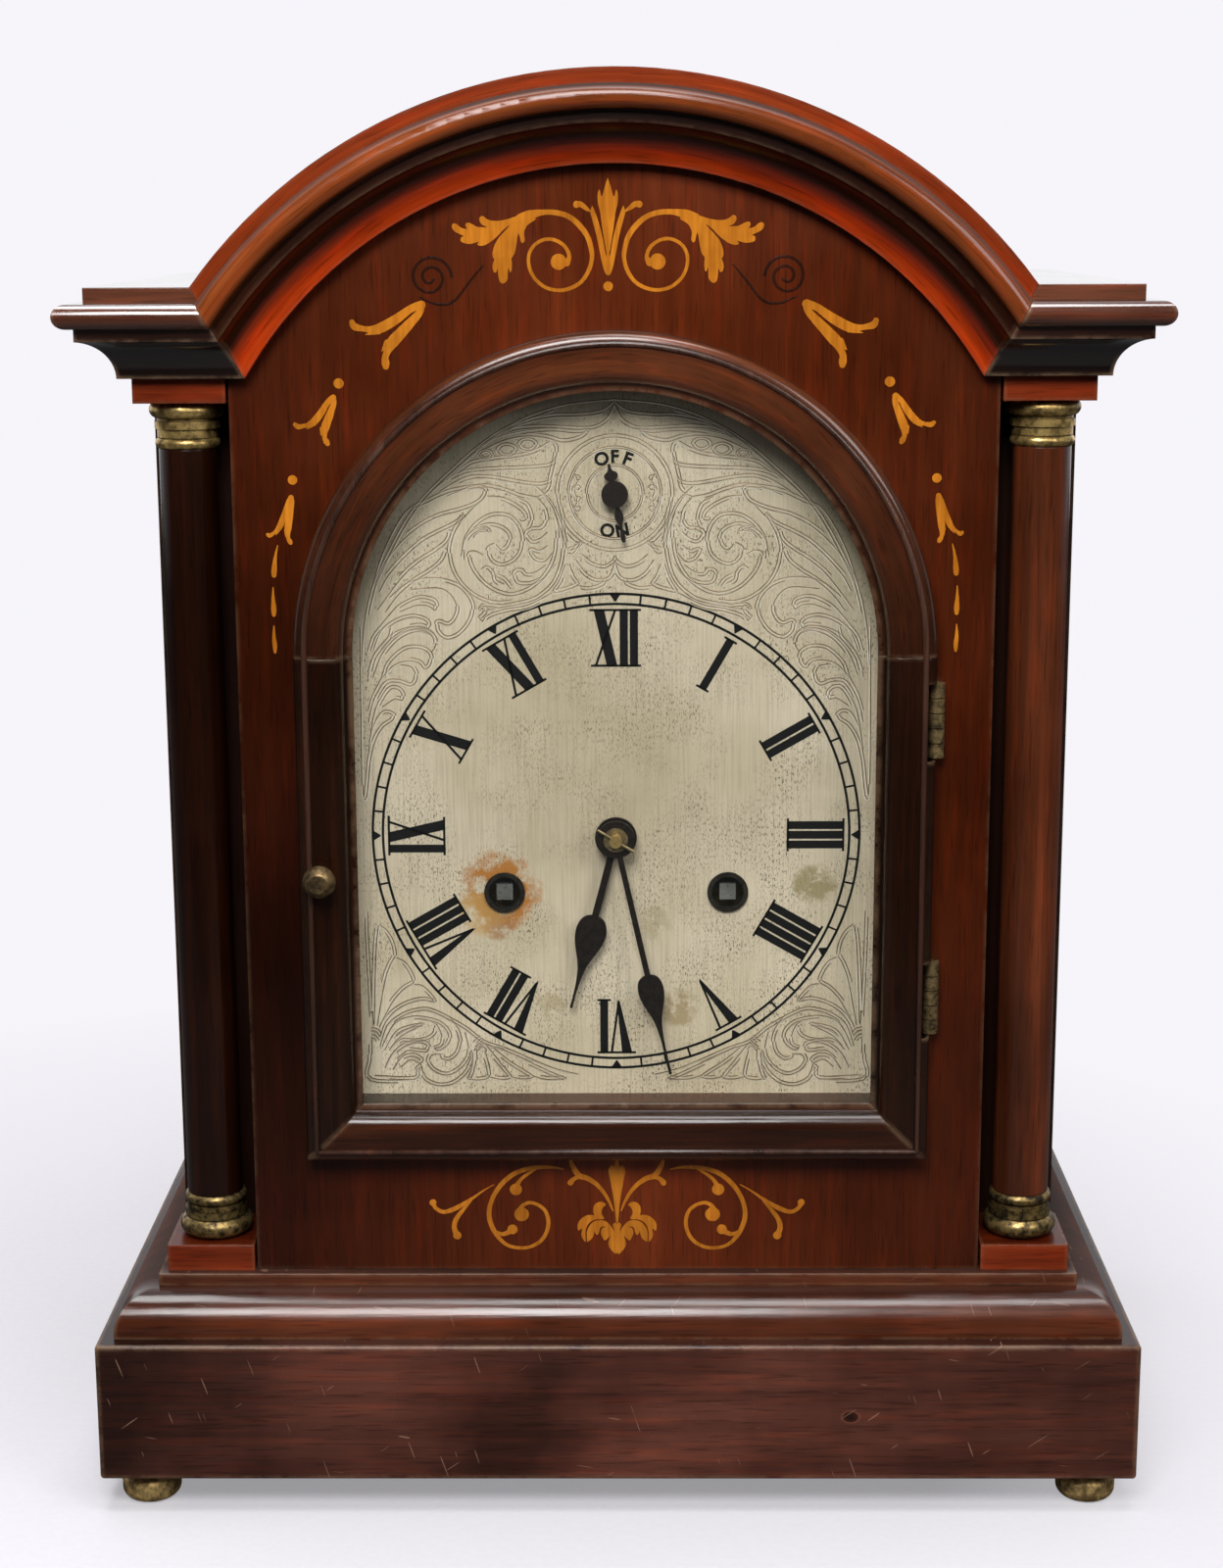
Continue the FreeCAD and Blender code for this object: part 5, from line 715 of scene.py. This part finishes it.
DIAL_BEADS = [
    (-38.4, 325.3, 2.1, 1.5),
    (-32.0, 326.6, 3.1, 2.0),
    (-25.9, 328.2, 2.9, 1.9),
]


def silvered(name):
    """Silvering yellowed by age: brushed, speckled, with rust by one winding hole and olive stains; soiled
    and given a painted shadow under the top of the arch, and painted lighter towards the foot.
    """
    finish, shader, add, join, ramp = shader_bench(name)
    place = add("TexCoord").outputs["Object"]
    cloud = noise(add, place, 26, 6, 0.6)
    worn = drawn_out(add, place, (2300, 1, 850))
    speck = noise(add, worn, 1, 4, 0.7)
    patch = noise(add, place, 55, 3)
    brush = drawn_out(add, place, (1500, 1, 45))
    brushed = noise(add, brush, 1, 3)
    silver = ramp(cloud, [(0.3, (0.52, 0.445, 0.29)), (0.7, (0.7, 0.615, 0.45))])
    silver = blend(add, "MULTIPLY", 0.45, silver, ramp(brushed, [(0.32, 0.6), (0.56, 1.0)]))
    pitted = sum_of(add, "MULTIPLY", ramp(speck, [(0.41, 1.0), (0.44, 0.0)]),
                    ramp(patch, [(0.4, 0.0), (0.6, 1.0)]))
    silver = blend(add, "MIX", pitted, silver, (0.07, 0.055, 0.028, 1))
    ragged = noise(add, place, 190, 6, 0.7)
    ragged = ramp(ragged, [(0.34, 0.1), (0.62, 1.0)])

    def away_from(x, z):
        spot = (x * MILLIMETRE, DIAL_FACE * MILLIMETRE, z * MILLIMETRE)
        return add("VectorMath", {0: place, 1: spot}, operation="DISTANCE").outputs["Value"]

    def nearness(x, z, reach):
        return between(add, away_from(x, z), reach * MILLIMETRE, 0.0)

    handled = ramp(nearness(-3.0, 236.0, 56.0), [(0.0, 0.0), (0.8, 0.42)])
    silver = blend(add, "MIX", handled, silver, (0.33, 0.26, 0.14, 1))
    for x, z, reach, colour, strength in STAINS:
        stain = sum_of(add, "MULTIPLY", nearness(x, z, reach), ragged)
        silver = blend(add, "MIX", ramp(stain, [(0.12, 0.0), (0.36, strength)]), silver, colour)
    height = add("SeparateXYZ", {"Vector": place}).outputs["Z"]
    # Soiling and a painted shadow of the door frame round the top of the arch.
    rim = between(add, away_from(0, ARCH_SPRING), 0.066, 0.08)
    high = between(add, height, 0.26, 0.3)
    grime_and_shadow = sum_of(add, "MULTIPLY", rim, high)
    silver = blend(add, "MIX", ramp(grime_and_shadow, [(0.0, 0.0), (1.0, 0.5)]), silver, (0.2, 0.19, 0.1, 1))
    # Painted light: the foot of the dial is lightened.
    low = between(add, height, 0.13, 0.21)
    silver = blend(add, "MULTIPLY", 1, silver, ramp(low, [(0.0, 1.25), (1.0, 1.0)]))
    join(silver, "Base Color")
    shader.inputs["Metallic"].default_value = 0.15
    join(ramp(brushed, [(0.3, 0.52), (0.7, 0.42)]), "Roughness")
    join(add("Bump", {"Height": brushed, "Strength": 0.05, "Distance": 0.0002}).outputs["Normal"], "Normal")
    return finish


dress(silvered("dial_silver"), "dial_plate")
dress(tarnished("grommet_brass", (0.075, 0.065, 0.05), (0.022, 0.018, 0.015), 0.3), "winding_grommets")


def graver_cut(name, lines, width, finishes):
    """Graver cuts: each line a small ridge, its upper side in painted shade and its lower side a painted
    highlight, as one piece on the dial.
    """
    points, faces, sides = [], [], []
    for line in lines:
        left, right = both_edges([(x, z, width) for x, z in line])
        first = len(points)
        for (lx, lz), (x, z), (rx, rz) in zip(left, line, right):
            points += [(lx, DIAL_FACE, lz), (x, DIAL_FACE - CUT_DEEP, z), (rx, DIAL_FACE, rz)]
        for k in range(len(line) - 1):
            at = first + 3 * k
            over = left[k][1] >= right[k][1]
            faces += [[at, at + 1, at + 4, at + 3], [at + 1, at + 2, at + 5, at + 4]]
            sides += [0 if over else 1, 1 if over else 0]
    return loose_piece(name, points, faces, finishes, "case", sides)


def cut_silver(name, dull, bright, rough):
    """One side of a graver's cut, coloured as painted shade or as a painted highlight."""
    finish, shader, add, join, ramp = shader_bench(name)
    place = add("TexCoord").outputs["Object"]
    cloud = noise(add, place, 220, 3)
    join(ramp(cloud, [(0.35, dull), (0.65, bright)]), "Base Color")
    join(ramp(cloud, [(0.35, rough + 0.1), (0.65, rough)]), "Roughness")
    shader.inputs["Metallic"].default_value = 0.3
    return finish


# The upper side of each cut carries painted shade and the lower side a painted highlight.
shade_and_highlight_sides = [cut_silver("graver_painted_shade", (0.105, 0.066, 0.02), (0.21, 0.138, 0.052), 0.5),
             cut_silver("graver_painted_highlight", (0.74, 0.67, 0.5), (0.95, 0.9, 0.76), 0.3)]
scrolls = [smooth_line(line, 5) for line in DIAL_SCROLLS]
for line in list(scrolls):
    echo = both_edges([(x, z, ECHO_APART) for x, z in line])[1]
    trim = len(echo) // ECHO_SHORTER
    scrolls.append(echo[trim:len(echo) - trim])
for x, z, wide, tall in DIAL_BEADS:
    scrolls += [oval(x, z, share * wide, share * tall, 28) for share in (1.0, 0.62)]
graver_cut("dial_scrolls", twins(scrolls), SCROLL_WIDTH, shade_and_highlight_sides)


def ring_line(middle, radius, sides=96):
    """A closed ring of the dial, from its head round to the right."""
    return [(radius * math.sin(math.tau * k / sides), middle + radius * math.cos(math.tau * k / sides))
            for k in range(sides + 1)]


strike_cuts = [ring_line(STRIKE_MIDDLE, radius) for radius in STRIKE_RINGS]
for side in (-1, 1):
    for lift in STRIKE_CURLS:
        turn = math.copysign(0.6, lift)
        line = spiral(STRIKE_CURL_OUT, STRIKE_MIDDLE + lift, STRIKE_CURL_ROUND, turn, 11, 14)
        strike_cuts.append([(side * x, z) for x, z in line])
    strike_cuts.append([(side * (STRIKE_STEM_OUT + 0.5 * math.sin(k * 1.1)), STRIKE_MIDDLE - 6.5 + k)
                        for k in range(14)])
graver_cut("strike_rings", strike_cuts, RING_WIDTH, shade_and_highlight_sides)

HOUR_SIGNS = ("XII", "I", "II", "III", "IIII", "V", "VI", "VII", "VIII", "IX", "X", "XI")
HOUR_FOOT, HOUR_HEAD = 52.4, 70.1
SIGN_WIDTHS = {"I": 2.5, "V": 7.4, "X": 7.9}
SIGN_GAPS = {"II": 0.55}


def hour_sign(word):
    """The strokes of one Roman numeral, feet on the line at zero, as four-sided shapes."""
    tall = HOUR_HEAD - HOUR_FOOT
    shapes, at, feet = [], 0.0, []
    for place, letter in enumerate(word):
        if place:
            at += SIGN_GAPS.get(word[place - 1] + letter, 0.35)
        wide = SIGN_WIDTHS[letter]
        if letter == "I":
            shapes.append([(at, 0), (at + wide, 0), (at + wide, tall), (at, tall)])
            feet.append((at - 0.9, at + wide + 0.9))
        elif letter == "V":
            shapes.append([(at + 0.2, tall), (at + 3.4, tall), (at + 5.0, 1.6), (at + 4.3, 0)])
            shapes.append([(at + 6.3, tall), (at + 7.1, tall), (at + 4.8, 0.6), (at + 4.2, 1.2)])
        else:
            shapes.append([(at + 0.3, tall), (at + 3.5, tall), (at + 7.6, 0), (at + 4.4, 0)])
            shapes.append([(at + 6.6, tall), (at + 7.4, tall), (at + 1.3, 0), (at + 0.5, 0)])
            feet.append((at - 0.5, at + 8.4))
        at += wide
    shapes.append([(-0.9, tall - 0.7), (at + 0.9, tall - 0.7), (at + 0.9, tall), (-0.9, tall)])
    if feet:
        start, stop = min(a for a, _ in feet), max(b for _, b in feet)
        shapes.append([(start, 0), (stop, 0), (stop, 0.7), (start, 0.7)])
    return [[(x - at / 2, z) for x, z in shape] for shape in shapes]


def on_dial(shape, angle, middle=DIAL_MIDDLE):
    """A shape of (across, outward) turned to its place round the dial."""
    return [(x * math.cos(angle) + z * math.sin(angle), middle - x * math.sin(angle) + z * math.cos(angle))
            for x, z in shape]


track = []
for outer, inner in TRACK_RINGS:
    rim = ring_line(DIAL_MIDDLE, outer, TRACK_SIDES)
    bore = ring_line(DIAL_MIDDLE, inner, TRACK_SIDES)
    track += [[rim[k], rim[k + 1], bore[k + 1], bore[k]] for k in range(TRACK_SIDES)]
for minute in range(60):
    track.append(on_dial(MINUTE_MARK if minute % 5 else FIVE_MINUTE_MARK, math.tau * minute / 60))
hours = []
for hour, word in enumerate(HOUR_SIGNS):
    for shape in hour_sign(word):
        hours.append(on_dial([(x, z + HOUR_FOOT) for x, z in shape], math.tau * hour / 12))


def black_wax(name):
    """Black wax, chipped out of its cuts here and there."""
    finish, shader, add, join, ramp = shader_bench(name)
    place = add("TexCoord").outputs["Object"]
    chip = noise(add, place, 1300, 4, 0.75)
    patch = noise(add, place, 60, 2)
    lost = sum_of(add, "MULTIPLY", ramp(chip, [(0.66, 0.0), (0.72, 1.0)]),
                  ramp(patch, [(0.54, 0.0), (0.66, 0.7)]))
    join(blend(add, "MIX", lost, (0.006, 0.006, 0.006, 1), (0.4, 0.35, 0.24, 1)), "Base Color")
    join(ramp(chip, [(0.3, 0.4), (0.7, 0.55)]), "Roughness")
    shader.inputs["Specular IOR Level"].default_value = 0.1
    return finish


hour_wax = black_wax("hour_wax")
let_in("minute_track", track, DIAL_FACE, WAX_PROUD, hour_wax)
let_in("hour_signs", hours, DIAL_FACE, WAX_PROUD, hour_wax)


def word_ring(name, letters, foot, tall, lean):
    """Bold letters round the strike dial, upright at its head, or at its foot if their own feet lie below."""
    joined = []
    for place, letter in enumerate(letters):
        text = bpy.data.curves.new(name + letter, "FONT")
        text.body = letter
        text.align_x = "CENTER"
        text.size = tall * 1.38
        text.offset = 0.05 * tall
        scratch = bpy.data.objects.new(name + letter, text)
        flat = bpy.data.meshes.new_from_object(scratch)
        along = place - (len(letters) - 1) / 2
        angle = math.copysign(along * lean, along * foot)
        for face in flat.polygons:
            shape = [(flat.vertices[v].co.x, flat.vertices[v].co.y + foot) for v in face.vertices]
            joined.append(on_dial(shape, angle, STRIKE_MIDDLE))
        bpy.data.objects.remove(scratch)
        bpy.data.curves.remove(text)
        bpy.data.meshes.remove(flat)
    let_in(name, joined, DIAL_FACE, WAX_PROUD, hour_wax)


word_ring("strike_word_off", "OFF", 9.2, 3.9, 0.36)
word_ring("strike_word_on", "ON", -13.1, 3.9, 0.4)

# Hands: pierced and filed from sheet steel, blued, and gone brown with age.
# They sit on the pipes of the motion work, and a brass washer and a taper pin hold them.

dress(tarnished("hand_steel", (0.05, 0.035, 0.03), (0.022, 0.016, 0.014), 0.3), "hour_hand", "minute_hand",
      "silent_pointer")
dress(tarnished("hand_washer_brass", (0.5, 0.4, 0.2), (0.2, 0.15, 0.07), 0.3), "hand_pin")

# Front door: an arched frame of four mahogany pieces, cross-grained on its flat, with a bead round
# its outer edge; the glass is puttied into its rebate.

# Painted light: the door arch is painted lighter at its head and darker down towards its feet, and the stiles
# are a darker copy of the wood for their shade.
dress(mahogany("door_mahogany", (0.035, 0.01, 0.004), (0.08, 0.021, 0.007), (0.12, 0.034, 0.012),
               "arch", 0.13, 0.2, middle=ARCH_SPRING * MILLIMETRE, gloss=0.4, coat=0.2,
               painted_light_and_dirt=[((0, -0.09, 0.362), (7, 0, 7), [(0.2, 1.15), (0.95, 0.3)])]), "door_arch")
dress(mahogany("stile_mahogany_painted_shade", (0.006, 0.002, 0.0008), (0.012, 0.0036, 0.0014), (0.028, 0.008, 0.0028),
               "z", 0.12, 0.2, gloss=0.35), "door_stile_left", "door_stile_right")
dress(mahogany("rail_mahogany", (0.012, 0.004, 0.0015), (0.03, 0.008, 0.003), (0.062, 0.017, 0.006),
               "x", 0.14, 0.2, gloss=0.4), "door_rail")
DOOR_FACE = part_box("door_arch")[0].y / MILLIMETRE
DOOR_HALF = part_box("door_arch")[1].x / MILLIMETRE
DOOR_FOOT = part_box("door_rail")[0].z / MILLIMETRE
BEAD_IN, BEAD_ROUND, BEAD_SIDES, BEAD_CORNER = 3.6, 0.9, 9, 0.5


def half_round(name, path, radius, face, body, finish):
    """A half-round bead along a closed path on a face that looks to the front."""
    left, right = both_edges([(x, z, 2 * radius) for x, z in path + path[:1]])
    points, faces = [], []
    for (lx, lz), (rx, rz) in zip(left[:-1], right[:-1]):
        for k in range(BEAD_SIDES):
            turn = math.pi * k / (BEAD_SIDES - 1)
            across = (1 - math.cos(turn)) / 2
            points.append((lx + (rx - lx) * across, face - radius * math.sin(turn), lz + (rz - lz) * across))
    for ring in range(len(path)):
        this = ring * BEAD_SIDES
        after = (ring + 1) % len(path) * BEAD_SIDES
        faces += [[this + k, this + k + 1, after + k + 1, after + k] for k in range(BEAD_SIDES - 1)]
    return loose_piece(name, points, faces, [finish], body, smooth=True)


bead_half = DOOR_HALF - BEAD_IN
bead_foot = DOOR_FOOT + BEAD_IN
bead_near = bead_half - BEAD_CORNER
bead_path = oval(0, ARCH_SPRING, -bead_half, bead_half, 120)[:61]
bead_path += [(bead_half, bead_foot + BEAD_CORNER), (bead_half, bead_foot), (bead_near, bead_foot)]
bead_path += [(-bead_near, bead_foot), (-bead_half, bead_foot), (-bead_half, bead_foot + BEAD_CORNER)]
bead_wood = mahogany("bead_mahogany", (0.02, 0.008, 0.004), (0.05, 0.02, 0.012), (0.09, 0.045, 0.03),
                     "z", 0.2, 0.0, gloss=0.5)
half_round("door_bead", bead_path, BEAD_ROUND, DOOR_FACE, "front_door", bead_wood)
dress(tarnished("door_brass", (0.2, 0.13, 0.055), (0.04, 0.026, 0.012), 0.4), "door_knob")
dress(tarnished("door_hinge_brass", (0.4, 0.28, 0.125), (0.05, 0.035, 0.017), 0.34),
      "door_hinge_fixed", "door_hinge_swing")


def window_glass(name):
    """Thin old glass, a little wavy."""
    finish, shader, add, join, ramp = shader_bench(name)
    place = add("TexCoord").outputs["Object"]
    ripple = noise(add, place, 9, 1)
    join(ramp(ripple, [(0.3, (0.06, 0.07, 0.06)), (0.7, (0.08, 0.085, 0.08))]), "Base Color")
    shader.inputs["Roughness"].default_value = 0.03
    shader.inputs["Alpha"].default_value = 0.04
    join(add("Bump", {"Height": ripple, "Strength": 0.05, "Distance": 0.002}).outputs["Normal"], "Normal")
    return finish


dress(window_glass("door_glass_clear"), "door_glass")

# Stage: a pale floor that runs out into a plain pale background, as in a studio.
# Three soft lamps stand before and above the clock, and the camera stands where the photo was taken.

FLOOR_CORNERS = [(-2.5, -0.62, 0), (2.5, -0.62, 0), (2.5, 2.6, 0), (-2.5, 2.6, 0)]
CLOCK_SHADOW, SHADOW_NEAR, SHADOW_FAR = (-0.09, -0.02, 0), 0.2, 0.48
PAPER_WHITE = (0.925, 0.91, 0.955, 1)
CAMERA_PLACE, CAMERA_LENS, CAMERA_FILM = (0.005853, -0.86496, 0.39669), 61.08, 36
CAMERA_TURN, CAMERA_DIP, CAMERA_ROLL = 0.009, 0.21289, -0.004

floor_mesh = bpy.data.meshes.new("floor")
floor_mesh.from_pydata(FLOOR_CORNERS, [], [(0, 1, 2, 3)])
floor = bpy.data.objects.new("floor", floor_mesh)
bpy.context.scene.collection.objects.link(floor)
paper, shader, add, join, ramp = shader_bench("white_paper")
place = add("TexCoord").outputs["Object"]
fibres = noise(add, place, 400, 2)
nearby = add("VectorMath", {0: place, 1: CLOCK_SHADOW}, operation="DISTANCE").outputs["Value"]
pale = ramp(fibres, [(0.3, (0.34, 0.33, 0.35)), (0.7, (0.36, 0.35, 0.37))])
pale = blend(add, "MULTIPLY", 1, pale, ramp(nearby, [(SHADOW_NEAR, 1.0), (SHADOW_FAR, 0.0)]))
rays = add("LightPath").outputs
join(blend(add, "MIX", rays["Is Glossy Ray"], pale, (0.06, 0.06, 0.06, 1)), "Base Color")
shader.inputs["Roughness"].default_value = 0.9
shader.inputs["Specular IOR Level"].default_value = 0.0
seen = sum_of(add, "MAXIMUM", rays["Is Camera Ray"], rays["Is Transmission Ray"])
shader.inputs["Emission Color"].default_value = PAPER_WHITE
glow = ramp(nearby, [(SHADOW_NEAR, 0.34), (SHADOW_FAR, 1.0)])
join(sum_of(add, "MULTIPLY", seen, glow), "Emission Strength")
floor_mesh.materials.append(paper)

world = bpy.data.worlds.new("studio")
bpy.context.scene.world = world
world.use_nodes = True
add = node_maker(world.node_tree)
ways = add("SeparateXYZ", {0: add("TexCoord").outputs["Generated"]}).outputs
room = between(add, ways["Y"], -1, 1)
room = ramped(add, room, [(0.35, (0.04, 0.04, 0.0412)), (0.8, (0.92, 0.92, 0.9476))])
rays = add("LightPath").outputs
seen = sum_of(add, "MAXIMUM", rays["Is Camera Ray"], rays["Is Transmission Ray"])
shown = blend(add, "MIX", seen, room, PAPER_WHITE)
world.node_tree.links.new(shown, world.node_tree.nodes["Background"].inputs["Color"])


def softbox(name, place, target, size, power):
    """A soft lamp with a rectangular face, turned to its target."""
    lamp = bpy.data.lights.new(name, "AREA")
    lamp.shape = "RECTANGLE"
    lamp.size, lamp.size_y = size
    lamp.energy = power
    lamp_object = bpy.data.objects.new(name, lamp)
    lamp_object.location = place
    lamp_object.rotation_euler = (Vector(target) - Vector(place)).to_track_quat("-Z", "Y").to_euler()
    bpy.context.scene.collection.objects.link(lamp_object)


softbox("key_lamp", (-0.12, -0.85, 0.9), (0.0, -0.05, 0.27), (0.45, 0.4), 11.5)
softbox("fill_lamp", (0.75, -0.85, 0.8), (0.0, -0.05, 0.2), (0.5, 0.5), 5)
softbox("top_lamp", (-0.05, -0.12, 1.2), (0.0, -0.05, 0.3), (0.9, 0.5), 15)

camera = bpy.data.cameras.new("camera")
camera.sensor_fit = "VERTICAL"
camera.sensor_height = CAMERA_FILM
camera.lens = CAMERA_LENS
camera_object = bpy.data.objects.new("camera", camera)
camera_turns = Matrix.Rotation(CAMERA_TURN, 4, "Z") @ Matrix.Rotation(math.pi / 2 - CAMERA_DIP, 4, "X")
camera_turns @= Matrix.Rotation(CAMERA_ROLL, 4, "Z")
camera_object.matrix_world = Matrix.Translation(CAMERA_PLACE) @ camera_turns
bpy.context.scene.collection.objects.link(camera_object)
bpy.context.scene.camera = camera_object
bpy.context.scene.view_settings.view_transform = "Standard"
